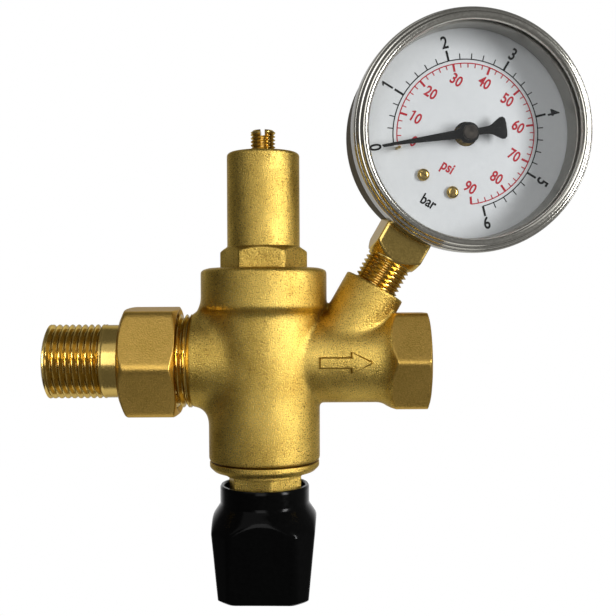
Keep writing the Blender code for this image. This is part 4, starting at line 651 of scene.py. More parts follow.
def outlet_hex():
    """Hexagon on the outlet with its cut pipe thread inside."""
    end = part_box("valve_body")[1][0]
    outline = polygon_radius(6, OUTLET_HEX_ACROSS, HEX_CORNER)
    corner = outlet_corner() + 2 * SOFT_EDGE
    places = np.linspace(OUTLET_HEX_START - SOFT_EDGE, OUTLET_FLARE_END, OUTLET_FLARE_ROWS)
    blank = [(x, flare_radius(x)) for x in places]
    blank += [(end - END_CHAMFER, corner), (end, OUTLET_HEX_ACROSS / 2)]
    rows = hex_rows(outline, blank, OUTLET_HEX_START - SOFT_EDGE, end)
    rows.append((end, PIPE_HALF[0] / 2 + SOFT_EDGE))
    outer = lathe("outlet_hex", rows + [
        (end - END_CHAMFER, PIPE_HALF[0] / 2 + THREAD_GAP),
        (end - SOCKET_DEPTH, PIPE_HALF[0] / 2 + THREAD_GAP),
        (end - SOCKET_DEPTH, PIPE_HALF[0] / 2 + 2 * THREAD_GAP),
    ], flow_frame(), loop=True)
    piece(outer, "valve", "cast_brass", "valve_body")
    inside = thread_rows(PIPE_HALF, end - SOCKET_DEPTH + SOFT_EDGE, end - SOFT_EDGE, inner=True)
    jacket = PIPE_HALF[0] / 2 + SOFT_EDGE
    thread = lathe("outlet_thread", inside + [
        (end - SOFT_EDGE, jacket),
        (end - SOCKET_DEPTH + SOFT_EDGE, jacket),
    ], flow_frame(), loop=True, count=THREAD_STEPS)
    piece(thread, "valve", "turned_brass", "valve_body")


def arrow_half(x):
    """Half height of the arrow's head."""
    return ARROW_HALF_HEAD * (ARROW_TIP_X - x) / (ARROW_TIP_X - ARROW_NECK_X)


def arrow_block(soft, first, last, half_height):
    """Part of the arrow between two places, wider at its foot than at its face."""
    middle = (first + last) / 2
    widen = 1.0 + 2.0 * ARROW_DRAFT / (last - first)
    ring = []
    for j in range(ARROW_CELLS + 1):
        x = first + (last - first) * j / ARROW_CELLS
        column = []
        for proud, foot in ((-ARROW_SUNK, True), (ARROW_PROUD, False)):
            half = half_height(x) + (ARROW_DRAFT if foot else 0.0)
            place = middle + (x - middle) * widen if foot else x
            radius = OUTLET_TUBE_RADIUS + proud
            for i in range(ARROW_CELLS + 1):
                z = half * (2 * i / ARROW_CELLS - 1)
                column.append(soft.verts.new((place, -math.sqrt(radius ** 2 - z ** 2), z)))
        ring.append(column)
    side = ARROW_CELLS + 1
    for a, b in zip(ring, ring[1:]):
        for i in range(ARROW_CELLS):
            soft.faces.new((a[i], a[i + 1], b[i + 1], b[i]))
            soft.faces.new((a[side + i], b[side + i], b[side + i + 1], a[side + i + 1]))
        soft.faces.new((a[0], b[0], b[side], a[side]))
        soft.faces.new((a[side - 1], a[2 * side - 1], b[2 * side - 1], b[side - 1]))
    for end in (ring[0], ring[-1]):
        for i in range(ARROW_CELLS):
            soft.faces.new((end[i], end[i + 1], end[side + i + 1], end[side + i]))


def flow_arrow():
    """Arrow raised on the front of the outlet tube, following its curve."""
    soft = bmesh.new()
    arrow_block(soft, ARROW_TAIL_X, ARROW_NECK_X + SOFT_EDGE, lambda x: ARROW_HALF_SHAFT)
    arrow_block(soft, ARROW_NECK_X, ARROW_TIP_X, arrow_half)
    mesh = baked("flow_arrow", soft)
    return piece(finished("flow_arrow", mesh), "valve", "cast_brass")


def inlet_spigot():
    """Threaded inlet end of the body, mostly inside the union nut."""
    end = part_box("valve_body")[0][0]
    inside = INLET_BOSS_END + CAST_EDGE
    chamfered = PIPE_THREE_QUARTER[0] / 2 - END_CHAMFER
    rows = [(end, TAIL_BORE), (end, chamfered)]
    rows += thread_rows(PIPE_THREE_QUARTER, end + END_CHAMFER / 2, INLET_BOSS_END, fade=SPIGOT_FADE)
    rows += [(inside, chamfered), (inside, TAIL_BORE)]
    obj = lathe("inlet_spigot", rows, flow_frame(), loop=True, count=THREAD_STEPS)
    return piece(obj, "valve", "turned_brass", "valve_body")


def union_nut():
    low, high = (corner[0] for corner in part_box("union_nut"))
    outline = polygon_radius(6, NUT_ACROSS, NUT_CORNER, NUT_TURN)
    corner = NUT_ACROSS / 2 / math.cos(math.pi / 6)
    blank = [
        (low, corner - NUT_FACE_INSET),
        (low + NUT_CHAMFER / 2, corner - NUT_CHAMFER / 2),
        (low + NUT_CHAMFER, corner),
        (high - NUT_OPEN_CHAMFER, corner + SOFT_EDGE),
        (high, NUT_ACROSS / 2),
    ]
    thread = PIPE_THREE_QUARTER[0] / 2 + THREAD_GAP
    shank = TAIL_SHANK + THREAD_GAP
    rows = hex_rows(outline, blank, low, high, NUT_ROWS)
    rows += rounded([
        (high, thread + END_CHAMFER),
        (high - END_CHAMFER, thread),
        (low + NUT_SHOULDER, thread),
        (low + NUT_SHOULDER, shank),
        (low, shank),
    ], FINE_FILLET)
    return piece(lathe("hex_union_nut", rows, flow_frame(), loop=True), "valve", "cast_brass", "union_nut")


def inlet_tail():
    low, high = (corner[0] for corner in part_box("inlet_tail"))
    thread_end = low + TAIL_THREAD_LENGTH
    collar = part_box("union_nut")[0][0] + NUT_SHOULDER + THREAD_GAP
    chamfered = PIPE_HALF[0] / 2 - END_CHAMFER
    rows = rounded([(high, TAIL_BORE), (low, TAIL_BORE), (low, chamfered)], TURNED_FILLET)
    rows += thread_rows(PIPE_HALF, low + END_CHAMFER / 2, thread_end, fade=TAIL_FADE)
    rows += [(thread_end + THREAD_GAP, TAIL_SHANK)]
    rows += rounded([
        (thread_end + 2 * THREAD_GAP, TAIL_SHANK),
        (collar, TAIL_SHANK),
        (collar, TAIL_COLLAR),
        (high, TAIL_COLLAR),
        (high, TAIL_BORE + THREAD_GAP),
    ], FINE_FILLET)
    obj = lathe("threaded_tail", rows, flow_frame(), loop=True, count=THREAD_STEPS)
    return piece(obj, "valve", "turned_brass", "inlet_tail")


def spring_bonnet():
    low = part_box("spring_bonnet")[0][2]
    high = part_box("spring_bonnet")[1][2]
    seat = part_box("valve_body")[1][2] + THREAD_GAP
    hex_top = seat + BONNET_HEX_HEIGHT
    outline = polygon_radius(6, BONNET_HEX_ACROSS, BONNET_HEX_CORNER, BONNET_HEX_TURN)
    corner = BONNET_HEX_ACROSS / 2 / math.cos(math.pi / 6)
    blank = [
        (seat, corner - THREAD_GAP),
        (seat + SOFT_EDGE, corner + SOFT_EDGE),
        (hex_top - BONNET_HEX_CHAMFER, corner + SOFT_EDGE),
        (hex_top, BONNET_RADIUS + THREAD_GAP),
    ]
    rows = [(low, BONNET_INSIDE), (low, BONNET_SKIRT), (seat, BONNET_SKIRT)]
    rows += hex_rows(outline, blank, seat, hex_top)
    rows += rounded([
        (hex_top, BONNET_RADIUS + THREAD_GAP),
        (hex_top + THREAD_GAP, BONNET_RADIUS),
        (high - BONNET_EDGE / 2, BONNET_RADIUS),
        (high, BONNET_RADIUS - BONNET_EDGE / 2),
        (high, SCREW_HOLE),
        (high - BONNET_ROOF, SCREW_HOLE),
        (high - BONNET_ROOF, BONNET_INSIDE),
        (low, BONNET_INSIDE),
    ], BONNET_FILLET)
    return piece(lathe("cast_bonnet", rows, loop=True), "valve", "cast_brass", "spring_bonnet")


def setting_screw():
    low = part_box("adjusting_screw")[0][2]
    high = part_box("adjusting_screw")[1][2]
    tip = SCREW_SEVEN[0] / 2 - SCREW_SEVEN[2]
    rows = [(low, tip), (low + THREAD_GAP, tip + THREAD_GAP)]
    rows += thread_rows(SCREW_SEVEN, low + SOFT_EDGE, high - SOFT_EDGE)
    rows += [(high - THREAD_GAP, tip + THREAD_GAP), (high, tip)]
    screw = lathe("threaded_setting_screw", rows, count=THREAD_STEPS)
    reach = SCREW_SEVEN[0]
    slot = box_between("slot_tool", (-SLOT_WIDTH / 2, -reach, high - SLOT_DEPTH),
                       (SLOT_WIDTH / 2, reach, high + SLOT_DEPTH), None, 0.0)
    return piece(cut_away(screw, slot), "setting_screw", "turned_brass", "adjusting_screw")


def spring_half(name, first, last):
    """Turns of the regulating spring between two shares of its length."""
    low, high = (corner[2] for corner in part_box("regulating_spring"))
    bottom, top = low + SPRING_WIRE / 2, high - SPRING_WIRE / 2
    steps = int(SPRING_TURNS * SPRING_STEPS * (last - first))
    section = angles(SPRING_SECTION)
    verts, faces = [], []
    for i in range(steps + 1):
        share = first + (last - first) * i / steps
        turn = 2.0 * math.pi * SPRING_TURNS * share
        reach = SPRING_COIL + SPRING_WIRE / 2 * np.cos(section)
        level = bottom + (top - bottom) * share + SPRING_WIRE / 2 * np.sin(section)
        verts += np.stack((reach * math.cos(turn), reach * math.sin(turn), level), axis=1).tolist()
        for j in range(SPRING_SECTION if i else 0):
            k = (j + 1) % SPRING_SECTION
            here, back = i * SPRING_SECTION, (i - 1) * SPRING_SECTION
            faces.append((back + j, back + k, here + k, here + j))
    last_ring = steps * SPRING_SECTION
    faces += [tuple(range(SPRING_SECTION)), tuple(range(last_ring, last_ring + SPRING_SECTION))]
    mesh = bpy.data.meshes.new(name)
    mesh.from_pydata(verts, [], faces)
    obj = finished(name, mesh)
    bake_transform(obj)
    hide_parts("regulating_spring")


def regulating_spring():
    spring_half("spring_lower_turns", 0.0, 0.5)
    spring_half("spring_upper_turns", 0.5, 1.0)


def bottom_cap():
    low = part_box("bottom_cap")[0][2]
    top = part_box("bottom_cap")[1][2]
    outline = polygon_radius(6, CAP_HEX_ACROSS, CAP_HEX_CORNER, CAP_HEX_TURN)
    rows = [(low, SPINDLE_HOLE), (low, outline - SOFT_EDGE), (low + SOFT_EDGE, outline)]
    rows += [(CAP_COLLAR_BOTTOM, outline)]
    rows += rounded([
        (CAP_COLLAR_BOTTOM, CAP_HEX_ACROSS / 2 + END_CHAMFER),
        (CAP_COLLAR_BOTTOM, CAP_COLLAR),
        (CAP_RING_BOTTOM, CAP_COLLAR),
        (CAP_RING_BOTTOM, CAP_RADIUS - CAP_RING_CHAMFER),
        (CAP_RING_BOTTOM + CAP_RING_CHAMFER, CAP_RADIUS),
        (CAP_RING_TOP, CAP_RADIUS),
        (CAP_RING_TOP, CAP_THREAD_RADIUS),
        (top, CAP_THREAD_RADIUS),
        (top, CAP_INSIDE),
        (CAP_FLOOR, CAP_INSIDE),
        (CAP_FLOOR, SPINDLE_HOLE),
    ], TURNED_FILLET)
    return piece(lathe("turned_cap", rows, loop=True), "valve", "cast_brass", "bottom_cap")


def knob_radius(across):
    """Square with its corners cut at 45 degrees, the flats keeping their width."""
    turn = angles() - KNOB_TURN
    flats = np.abs(np.stack([np.cos(turn), np.sin(turn)]))
    corner = (across + KNOB_FLAT) / 2 / math.sqrt(2.0)
    diagonal = (flats[0] + flats[1]) / math.sqrt(2.0)
    return soft_min(across / 2 / flats.max(axis=0), corner / diagonal, KNOB_CORNER)


def shutoff_knob():
    """Tapered grip turned down to a round collar, which leaves an arch on each flat."""
    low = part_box("shutoff_knob")[0][2]
    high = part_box("shutoff_knob")[1][2]
    blank = [
        (low, math.hypot(KNOB_ACROSS_BOTTOM, KNOB_FLAT) / 2 - KNOB_EDGE / 2),
        (low + KNOB_EDGE, KNOB_CONE),
        (KNOB_CONE_BOTTOM, KNOB_CONE),
        (KNOB_COLLAR_BOTTOM, KNOB_COLLAR),
        (high, KNOB_COLLAR),
    ]
    heights, radii = zip(*blank)
    rows = []
    for i in range(KNOB_ROWS + 1):
        height = low + (high - low) * i / KNOB_ROWS
        taper = (height - low) / (KNOB_CONE_BOTTOM - low)
        across = KNOB_ACROSS_BOTTOM + (KNOB_ACROSS_TOP - KNOB_ACROSS_BOTTOM) * taper
        rim = THREAD_GAP if i in (0, KNOB_ROWS) else 0.0
        turned = np.interp(height, heights, radii)
        rows.append((height, soft_min(knob_radius(across), turned, KNOB_BLEND) - rim))
    rows += rounded([
        (high, KNOB_COLLAR - KNOB_WALL + THREAD_GAP),
        (high - THREAD_GAP, KNOB_COLLAR - KNOB_WALL),
        (KNOB_CUP_FLOOR, KNOB_COLLAR - KNOB_WALL),
        (KNOB_CUP_FLOOR, SPINDLE_HOLE),
        (KNOB_SOCKET_END, SPINDLE_HOLE),
    ], FINE_FILLET)
    rows.append((KNOB_SOCKET_END, 0.0))
    return piece(lathe("moulded_knob", rows), "shutoff_knob", "black_plastic", "shutoff_knob")


def gauge_stem():
    """Threaded stem with its square, and the block inside the case that carries the movement."""
    outline = polygon_radius(4, SQUARE_ACROSS, SQUARE_CORNER)
    half = SQUARE_ACROSS / 2
    tip = PIPE_QUARTER[0] / 2 - PIPE_QUARTER[2]
    rows = [(STEM_THREAD_BOTTOM, STEM_PORT), (STEM_THREAD_BOTTOM, tip)]
    rows += thread_rows(PIPE_QUARTER, STEM_THREAD_BOTTOM + SOFT_EDGE, SQUARE_START)
    rows += [(SQUARE_START + END_CHAMFER, tip), (SQUARE_START + END_CHAMFER, STEM_PORT)]
    thread = lathe("stem_thread", rows, STEM, loop=True, count=THREAD_STEPS)
    piece(thread, "valve", "turned_brass", "gauge_socket")
    corner = half * math.sqrt(2.0)
    blank = [(SQUARE_START, half), (SQUARE_START + corner - half, corner), (STEM_SHOULDER, corner)]
    square = [(SQUARE_START, STEM_PORT), (SQUARE_START, half - SOFT_EDGE)]
    square += hex_rows(outline, blank, SQUARE_START, STEM_SHOULDER)
    square += [(STEM_SHOULDER, STEM_PORT)]
    piece(lathe("stem_square", square, STEM, loop=True), "valve", "turned_brass", "gauge_socket")
    block = box_between("stem_block", (-BLOCK_HALF_WIDTH, BLOCK_BOTTOM, BLOCK_BACK),
                        (BLOCK_HALF_WIDTH, BLOCK_TOP, BLOCK_FRONT), GAUGE, BLOCK_BEVEL)
    piece(block, "valve", "turned_brass", "gauge_socket")


def gauge_case():
    inside = CASE_RADIUS - CASE_WALL
    rows = [(CASE_BACK, 0.0)]
    rows += rounded([
        (CASE_BACK, CASE_RADIUS / 2),
        (CASE_BACK, CASE_RADIUS),
        (CASE_FRONT, CASE_RADIUS),
        (CASE_FRONT, inside),
        (CASE_BACK + CASE_WALL, inside),
        (CASE_BACK + CASE_WALL, CASE_RADIUS / 2),
    ], CASE_EDGE, CASE_EDGE_STEPS)
    rows += [(CASE_BACK + CASE_WALL, 0.0)]
    return piece(lathe("drawn_case", rows, GAUGE), "valve", "case_steel", "gauge_case")


def gauge_bezel():
    """Rolled ring with three stepped rings on its face."""
    bore = CASE_RADIUS + THREAD_GAP
    face = [(BEZEL_SKIRT, bore), (BEZEL_SKIRT, BEZEL_RADIUS)]
    for radius, height in BEZEL_RINGS:
        face.append((BEZEL_FRONT - height, radius))
    face += [(BEZEL_LIP_BACK, BEZEL_OPENING), (BEZEL_LIP_BACK, bore), (BEZEL_SKIRT, bore)]
    rows = rounded(face, BEZEL_FILLET, BEZEL_FILLET_STEPS)
    return piece(lathe("rolled_bezel", rows, GAUGE, loop=True), "valve", "bright_steel", "gauge_bezel")


def dial_spacer():
    rows = rounded([
        (DIAL_FRONT + THREAD_GAP, SPACER_RADIUS),
        (CASE_FRONT, SPACER_RADIUS),
        (CASE_FRONT, SPACER_BORE),
        (DIAL_FRONT + THREAD_GAP, SPACER_BORE),
        (DIAL_FRONT + THREAD_GAP, SPACER_RADIUS),
    ], TURNED_FILLET)
    return piece(lathe("light_spacer", rows, GAUGE, loop=True), "valve", "bright_steel", "dial_spacer")


def bearing(angle, reach):
    """Point on the dial at an angle clockwise from its upright."""
    return (reach * math.sin(angle), reach * math.cos(angle))


def scale_bearing(share):
    """Bearing of a share of the full scale, the zero mark being drawn up to the stop pin."""
    return DIAL_TURN + max(DIAL_SWEEP * share, ZERO_LEAD) - DIAL_SWEEP / 2


def crowds_zero(share):
    return 0.0 < DIAL_SWEEP * share < 2 * ZERO_LEAD


def prism(soft, outline):
    """Thin closed prism of ink on the dial."""
    bottom = [soft.verts.new((x, y, DIAL_FRONT - PRINT_SUNK)) for x, y in outline]
    top = [soft.verts.new((x, y, DIAL_FRONT + PRINT_HEIGHT)) for x, y in outline]
    soft.faces.new(top)
    soft.faces.new(bottom[::-1])
    for i in range(len(outline)):
        j = (i + 1) % len(outline)
        soft.faces.new((bottom[i], bottom[j], top[j], top[i]))


def tick(soft, angle, inner, outer, width):
    across = (math.cos(angle) * width / 2, -math.sin(angle) * width / 2)
    a, b = bearing(angle, inner), bearing(angle, outer)
    prism(soft, [
        (a[0] - across[0], a[1] - across[1]),
        (a[0] + across[0], a[1] + across[1]),
        (b[0] + across[0], b[1] + across[1]),
        (b[0] - across[0], b[1] - across[1]),
    ])


def scale_arc(soft, radius, end_share):
    """Printed arc from zero, as a run of short prisms."""
    inner, outer = radius - ARC_WIDTH / 2, radius + ARC_WIDTH / 2
    for i in range(ARC_STEPS):
        first = scale_bearing(end_share * i / ARC_STEPS)
        second = scale_bearing(end_share * (i + 1) / ARC_STEPS)
        prism(soft, [
            bearing(first, inner),
            bearing(first, outer),
            bearing(second, outer),
            bearing(second, inner),
        ])


def numeral_flag(mesh, height):
    """Short flag at the head of a figure one."""
    soft = bmesh.new()
    soft.from_mesh(mesh)
    left = min(vert.co.x for vert in soft.verts)
    top = max(vert.co.y for vert in soft.verts)
    prism(soft, [(left + across * height, top + along * height) for across, along in FLAG])
    soft.to_mesh(mesh)
    soft.free()


def lettering(text, height, place, turn):
    """Flat letters standing on the dial, centred on their place."""
    curve = bpy.data.curves.new("letters", "FONT")
    curve.body = text
    curve.align_x = "CENTER"
    curve.align_y = "CENTER"
    curve.size = height / CAPITAL_SHARE
    curve.extrude = (PRINT_HEIGHT + PRINT_SUNK) / 2
    curve.offset = LETTER_WEIGHT * curve.size
    curve.resolution_u = 4
    obj = linked("letters", curve)
    mesh = evaluated(obj)
    bpy.data.objects.remove(obj, do_unlink=True)
    level = DIAL_FRONT + (PRINT_HEIGHT - PRINT_SUNK) / 2
    narrow = Matrix.Diagonal((LETTER_NARROW, 1.0, 1.0, 1.0))
    mesh.transform(Matrix.Translation((0.0, 0.0, level)) @ narrow)
    if text.startswith("1"):
        numeral_flag(mesh, height)
    mesh.transform(Matrix.Translation((*place, 0.0)) @ Matrix.Rotation(-turn, 4, "Z"))
    return mesh


def bar_print():
    """Black outer scale in bar."""
    soft = bmesh.new()
    scale_arc(soft, BAR_ARC, 1.0)
    for i in range(BAR_FULL * BAR_STEPS + 1):
        major = i % BAR_STEPS == 0
        share = i / (BAR_FULL * BAR_STEPS)
        if crowds_zero(share):
            continue
        angle = scale_bearing(share)
        tick(soft, angle, BAR_ARC, BAR_MAJOR if major else BAR_MINOR, MAJOR_WIDTH if major else MINOR_WIDTH)
    for value in range(BAR_FULL + 1):
        angle = scale_bearing(value / BAR_FULL)
        turn = angle + math.pi if value == BAR_FULL else angle
        soft.from_mesh(lettering(str(value), BAR_HEIGHT, bearing(angle, BAR_LABEL), turn))
    soft.from_mesh(lettering("bar", UNIT_HEIGHT, BAR_UNIT, DIAL_TURN))
    return ink("bar_scale", soft)


def psi_print():
    """Red inner scale in psi."""
    soft = bmesh.new()
    full = BAR_FULL * PSI_PER_BAR
    scale_arc(soft, PSI_ARC, PSI_FULL / full)
    for value in range(0, PSI_FULL + 1, PSI_STEP):
        major = value % PSI_LABEL_STEP == 0
        if crowds_zero(value / full):
            continue
        angle = scale_bearing(value / full)
        tick(soft, angle, PSI_MAJOR if major else PSI_MINOR, PSI_ARC, MAJOR_WIDTH if major else MINOR_WIDTH)
        if major:
            place = bearing(angle, PSI_LABEL)
            soft.from_mesh(lettering(str(value), PSI_HEIGHT, place, DIAL_TURN))
    soft.from_mesh(lettering("psi", UNIT_HEIGHT, PSI_UNIT, DIAL_TURN))
    return ink("psi_scale", soft)


def ink(name, soft):
    mesh = baked(name, soft)
    mesh.transform(GAUGE)
    return piece(linked(name, mesh), "valve", "pointer_black")


def dial_plate():
    rows = rounded([
        (DIAL_FRONT, DIAL_HOLE),
        (DIAL_FRONT, DIAL_RADIUS),
        (DIAL_FRONT - DIAL_THICKNESS, DIAL_RADIUS),
        (DIAL_FRONT - DIAL_THICKNESS, DIAL_HOLE),
        (DIAL_FRONT, DIAL_HOLE),
    ], DIAL_FILLET)
    return piece(lathe("dial_plate", rows, GAUGE, loop=True), "valve", "dial_white", "gauge_dial")


def pointer():
    """Flat pointer with a tapered blade, a round hub and a fanned tail."""
    turns = np.linspace(*POINTER_HUB_ARC, POINTER_HUB_POINTS)
    hub = [(POINTER_HUB * math.cos(a), POINTER_HUB * math.sin(a)) for a in turns]
    side = [POINTER_TIP] + hub + POINTER_FAN
    outline = side + [(along, -across) for along, across in side[::-1]]
    soft = bmesh.new()
    face = soft.faces.new([soft.verts.new((along, across, POINTER_BACK)) for along, across in outline])
    grown = bmesh.ops.extrude_face_region(soft, geom=[face])
    tops = [v for v in grown["geom"] if isinstance(v, bmesh.types.BMVert)]
    bmesh.ops.translate(soft, verts=tops, vec=(0.0, 0.0, POINTER_THICKNESS))
    bmesh.ops.bevel(soft, geom=soft.edges, offset=POINTER_BEVEL, segments=2, profile=0.5, affect="EDGES")
    mesh = baked("pressed_pointer", soft)
    turn = Matrix.Rotation(math.pi / 2 - scale_bearing(0.0), 4, "Z")
    return piece(finished("pressed_pointer", mesh, GAUGE @ turn), "pointer", "pointer_black", "gauge_pointer")


def dial_screw(side, node):
    """Small domed screw with a slot."""
    seat = DIAL_FRONT + THREAD_GAP
    crown = seat + SCREW_HEAD_HEIGHT
    rows = rounded([
        (DIAL_FRONT - SCREW_LENGTH, SCREW_SHANK / 2),
        (DIAL_FRONT - SCREW_LENGTH + THREAD_GAP, SCREW_SHANK),
        (seat, SCREW_SHANK),
        (seat, SCREW_HEAD_RADIUS),
        (seat + SCREW_HEAD_HEIGHT / 2, SCREW_HEAD_RADIUS),
        (crown, SCREW_HEAD_RADIUS * SCREW_CROWN[0]),
        (crown, SCREW_HEAD_RADIUS * SCREW_CROWN[1]),
    ], TURNED_FILLET)
    placed = GAUGE @ Matrix.Translation((side * SCREW_SPREAD, -SCREW_DROP, 0.0))
    screw = lathe("slotted_" + node, rows, placed, count=SCREW_STEPS)
    slot_turn = math.radians(SCREW_SLOT_TURN[0] + SCREW_SLOT_TURN[1] * side)
    turn = placed @ Matrix.Rotation(slot_turn, 4, "Z")
    slot = box_between("slot_tool", (-2 * SCREW_HEAD_RADIUS, -SCREW_HEAD_SLOT / 2, crown - SCREW_HEAD_SLOT),
                       (2 * SCREW_HEAD_RADIUS, SCREW_HEAD_SLOT / 2, crown + SCREW_HEAD_SLOT), turn, 0.0)
    return piece(cut_away(screw, slot), "valve", "turned_brass", node)


def material(name):
    mat = bpy.data.materials.new(name)
    mat.use_nodes = True
    tree = mat.node_tree
    return mat, tree, tree.nodes["Principled BSDF"]


def noise(tree, scale, detail=4.0):
    """Noise over the object's own coordinates, in cells per metre."""
    place = tree.nodes.new("ShaderNodeTexCoord")
    texture = tree.nodes.new("ShaderNodeTexNoise")
    texture.inputs["Scale"].default_value = scale
    texture.inputs["Detail"].default_value = detail
    tree.links.new(place.outputs["Object"], texture.inputs["Vector"])
    return texture.outputs["Fac"]


def tones(tree, value, dark, light, low=0.35, high=0.65):
    ramp = tree.nodes.new("ShaderNodeValToRGB")
    ramp.color_ramp.elements[0].position = low
    ramp.color_ramp.elements[0].color = (*dark, 1.0)
    ramp.color_ramp.elements[1].position = high
    ramp.color_ramp.elements[1].color = (*light, 1.0)
    tree.links.new(value, ramp.inputs["Fac"])
    return ramp.outputs["Color"]


def scaled(tree, value, first, last, low, high):
    """Map a value from one span to another and hold it at the ends."""
    node = tree.nodes.new("ShaderNodeMapRange")
    node.inputs["From Min"].default_value = first
    node.inputs["From Max"].default_value = last
    node.inputs["To Min"].default_value = low
    node.inputs["To Max"].default_value = high
    tree.links.new(value, node.inputs["Value"])
    return node.outputs["Result"]


def joined(tree, operation, first, second):
    node = tree.nodes.new("ShaderNodeMath")
    node.operation = operation
    tree.links.new(first, node.inputs[0])
    tree.links.new(second, node.inputs[1])
    return node.outputs["Value"]


def relief(tree, shader, value, distance, strength=1.0):
    bump = tree.nodes.new("ShaderNodeBump")
    bump.inputs["Distance"].default_value = distance
    bump.inputs["Strength"].default_value = strength
    tree.links.new(value, bump.inputs["Height"])
    tree.links.new(bump.outputs["Normal"], shader.inputs["Normal"])


def grained(name, dark, light, roughness, grain, depth, metallic=METAL, gloss=PLAIN_GLOSS, rim=1.0):
    """Finish with slow colour patches, a fine grain and uneven gloss."""
    mat, tree, shader = material(name)
    shader.inputs["Metallic"].default_value = metallic
    shader.inputs["Specular IOR Level"].default_value = gloss
    shader.inputs["Specular Tint"].default_value = (rim, rim, rim, 1.0)
    fine = noise(tree, grain, GRAIN_DETAIL)
    mottled = joined(tree, "ADD", scaled(tree, noise(tree, PATCHES), *NOISE_SPAN, 0.0, PATCH_SHARE),
                     scaled(tree, fine, *NOISE_SPAN, 0.0, GRAIN_SHARE))
    tree.links.new(tones(tree, mottled, dark, light, *TONE_SPAN), shader.inputs["Base Color"])
    tree.links.new(scaled(tree, fine, *NOISE_SPAN, *roughness), shader.inputs["Roughness"])
    relief(tree, shader, fine, depth)
    return mat


def finishes():
    ready = {finish: grained(*look) for finish, look in FINISHES.items()}
    ready["glass"] = window_glass()
    return ready


def window_glass():
    mat, tree, shader = material("window_clear")
    shader.inputs["Alpha"].default_value = GLASS_ALPHA
    shader.inputs["IOR"].default_value = GLASS_IOR
    smudge = noise(tree, SMUDGES)
    tree.links.new(tones(tree, smudge, *GLASS_TONES), shader.inputs["Base Color"])
    tree.links.new(scaled(tree, smudge, *NOISE_SPAN, *GLASS_ROUGHNESS), shader.inputs["Roughness"])
    return mat


BY_NODE = {
    "turned": ["spring_plate", "piston", "disc_holder", "disc_nut", "shutoff_seat", "shutoff_plunger",
               "shutoff_spindle", "zero_stop_pin", "sector_gear", "movement_rear_plate",
               "movement_front_plate", "movement_pillar_upper", "movement_pillar_lower", "bourdon_tube",
               "tube_tip", "adjusting_screw", "inlet_tail", "gauge_socket", "dial_screw_left",
               "dial_screw_right"],
    "cast": ["valve_body", "spring_bonnet", "bottom_cap"],
    "hex": ["union_nut"],
    "spring": ["regulating_spring", "hairspring"],
    "hub": ["pointer_bush"],
    "bright": ["inlet_strainer", "pointer_arbor", "sector_arbor", "tip_link", "gauge_bezel"],
    "spacer": ["dial_spacer"],
    "case": ["gauge_case"],
    "plastic": ["shutoff_knob"],
    "rubber": ["piston_ring", "disc_seal", "plunger_seal", "spindle_ring", "cap_ring"],
    "fibre": ["union_gasket"],
    "dial": ["gauge_dial"],
    "ink_black": ["gauge_pointer"],
    "glass": ["gauge_window"],
}
BY_PIECE = {
    "spring": ["spring_lower_turns", "spring_upper_turns"],
    "cast": ["cast_body", "flow_arrow", "cast_bonnet", "turned_cap"],
    "hex": ["outlet_hex", "hex_union_nut"],
    "turned": ["outlet_thread", "inlet_spigot", "threaded_tail", "threaded_setting_screw", "stem_thread",
               "stem_square", "stem_block", "slotted_dial_screw_left", "slotted_dial_screw_right"],
    "bright": ["rolled_bezel"],
    "spacer": ["light_spacer"],
    "case": ["drawn_case"],
    "plastic": ["moulded_knob"],
    "dial": ["dial_plate"],
    "ink_black": ["bar_scale", "pressed_pointer"],
    "ink_red": ["psi_scale"],
}


def paint():
    """Give every CAD node and every new piece its finish."""
    ready = finishes()
    for finish, names in BY_NODE.items():
        for name in names:
            dress(nodes[name], ready[finish])
    for finish, names in BY_PIECE.items():
        for name in names:
            dress(bpy.data.objects[name], ready[finish])


def dress(obj, mat):
    obj.data.materials.clear()
    obj.data.materials.append(mat)


def pieces():
    cast_body()
    outlet_hex()
    flow_arrow()
    inlet_spigot()
    union_nut()
    inlet_tail()
    spring_bonnet()
    setting_screw()
    regulating_spring()
    bottom_cap()
    shutoff_knob()
    gauge_stem()
    gauge_case()
    gauge_bezel()
    dial_spacer()
    dial_plate()
    bar_print()
    psi_print()
    pointer()
    dial_screw(-1, "dial_screw_left")
    dial_screw(1, "dial_screw_right")


def camera():
    data = bpy.data.cameras.new("photo_camera")
    data.lens = CAMERA_LENS
    data.shift_x, data.shift_y = CAMERA_SHIFT
    data.clip_start = CAMERA_CLIP
    obj = linked("photo_camera", data)
    obj.location = CAMERA_PLACE
    obj.rotation_euler = (math.radians(90.0), CAMERA_ROLL, 0.0)
    bpy.context.scene.camera = obj


def softbox(name, place, size, power):
    """Rectangular lamp facing the middle of the object."""
    data = bpy.data.lights.new(name, "AREA")
    data.shape = "RECTANGLE"
    data.size, data.size_y = size
    data.energy = power
    obj = linked(name, data)
    obj.location = place
    obj.rotation_euler = (LAMP_TARGET - Vector(place)).to_track_quat("-Z", "Y").to_euler()


def straight_rays(tree, path):
    """One for rays from the camera or through glass, otherwise nothing."""
    return joined(tree, "MAXIMUM", path.outputs["Is Camera Ray"], path.outputs["Is Transmission Ray"])


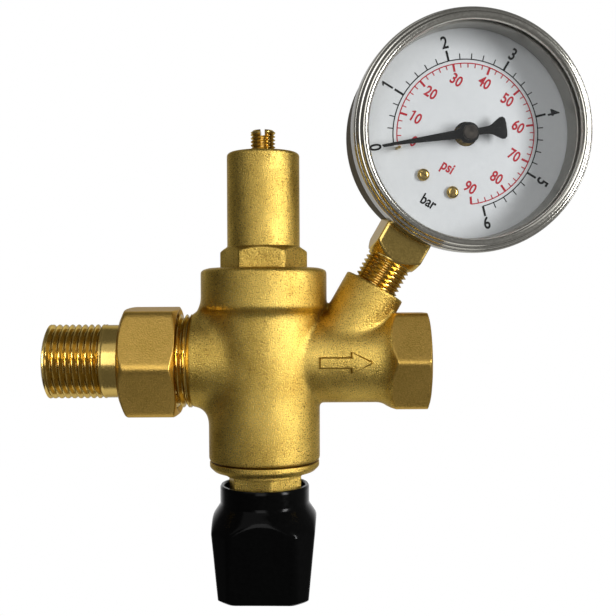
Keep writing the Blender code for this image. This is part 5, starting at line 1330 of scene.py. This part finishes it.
def studio_world():
    """White backdrop, which metal shows on its far side, in a dim room that is lighter on the right."""
    world = bpy.data.worlds.new("studio")
    bpy.context.scene.world = world
    world.use_nodes = True
    tree = world.node_tree
    background = tree.nodes["Background"]
    background.inputs["Color"].default_value = (1.0, 1.0, 1.0, 1.0)
    place = tree.nodes.new("ShaderNodeTexCoord")
    split = tree.nodes.new("ShaderNodeSeparateXYZ")
    tree.links.new(place.outputs["Generated"], split.inputs["Vector"])
    room = scaled(tree, split.outputs["X"], -1.0, 1.0, ROOM_LEFT, ROOM_RIGHT)
    behind = scaled(tree, split.outputs["Y"], BACKDROP_EDGE, BACKDROP_FULL, 0.0, 1.0)
    path = tree.nodes.new("ShaderNodeLightPath")
    mirrored = joined(tree, "MULTIPLY", path.outputs["Is Glossy Ray"], behind)
    straight = straight_rays(tree, path)
    choose = tree.nodes.new("ShaderNodeMix")
    choose.inputs["B"].default_value = 1.0
    tree.links.new(joined(tree, "MAXIMUM", straight, mirrored), choose.inputs["Factor"])
    tree.links.new(room, choose.inputs["A"])
    tree.links.new(choose.outputs["Result"], background.inputs["Strength"])


def floor():
    """Round floor below the object, as pale in metal and glass as to the camera."""
    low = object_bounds()[0][2]
    soft = bmesh.new()
    bmesh.ops.create_circle(soft, cap_ends=True, segments=ROUND_STEPS, radius=FLOOR_RADIUS)
    obj = linked("floor", baked("floor", soft))
    obj.location = (0.0, FLOOR_BACK, low - FLOOR_DROP)
    mat, tree, shader = material("pale_floor")
    tree.links.new(tones(tree, noise(tree, FLOOR_GRAIN), *FLOOR_TONES), shader.inputs["Base Color"])
    shader.inputs["Roughness"].default_value = FLOOR_ROUGHNESS
    path = tree.nodes.new("ShaderNodeLightPath")
    straight = straight_rays(tree, path)
    shown = joined(tree, "MAXIMUM", straight, path.outputs["Is Glossy Ray"])
    shader.inputs["Emission Color"].default_value = (1.0, 1.0, 1.0, 1.0)
    tree.links.new(scaled(tree, shown, 0.0, 1.0, 0.0, FLOOR_GLOW), shader.inputs["Emission Strength"])
    dress(obj, mat)
    obj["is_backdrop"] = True


def studio():
    bpy.context.scene.view_settings.view_transform = "Standard"
    camera()
    studio_world()
    floor()
    for lamp in LAMPS:
        softbox(*lamp)


pieces()
paint()
studio()
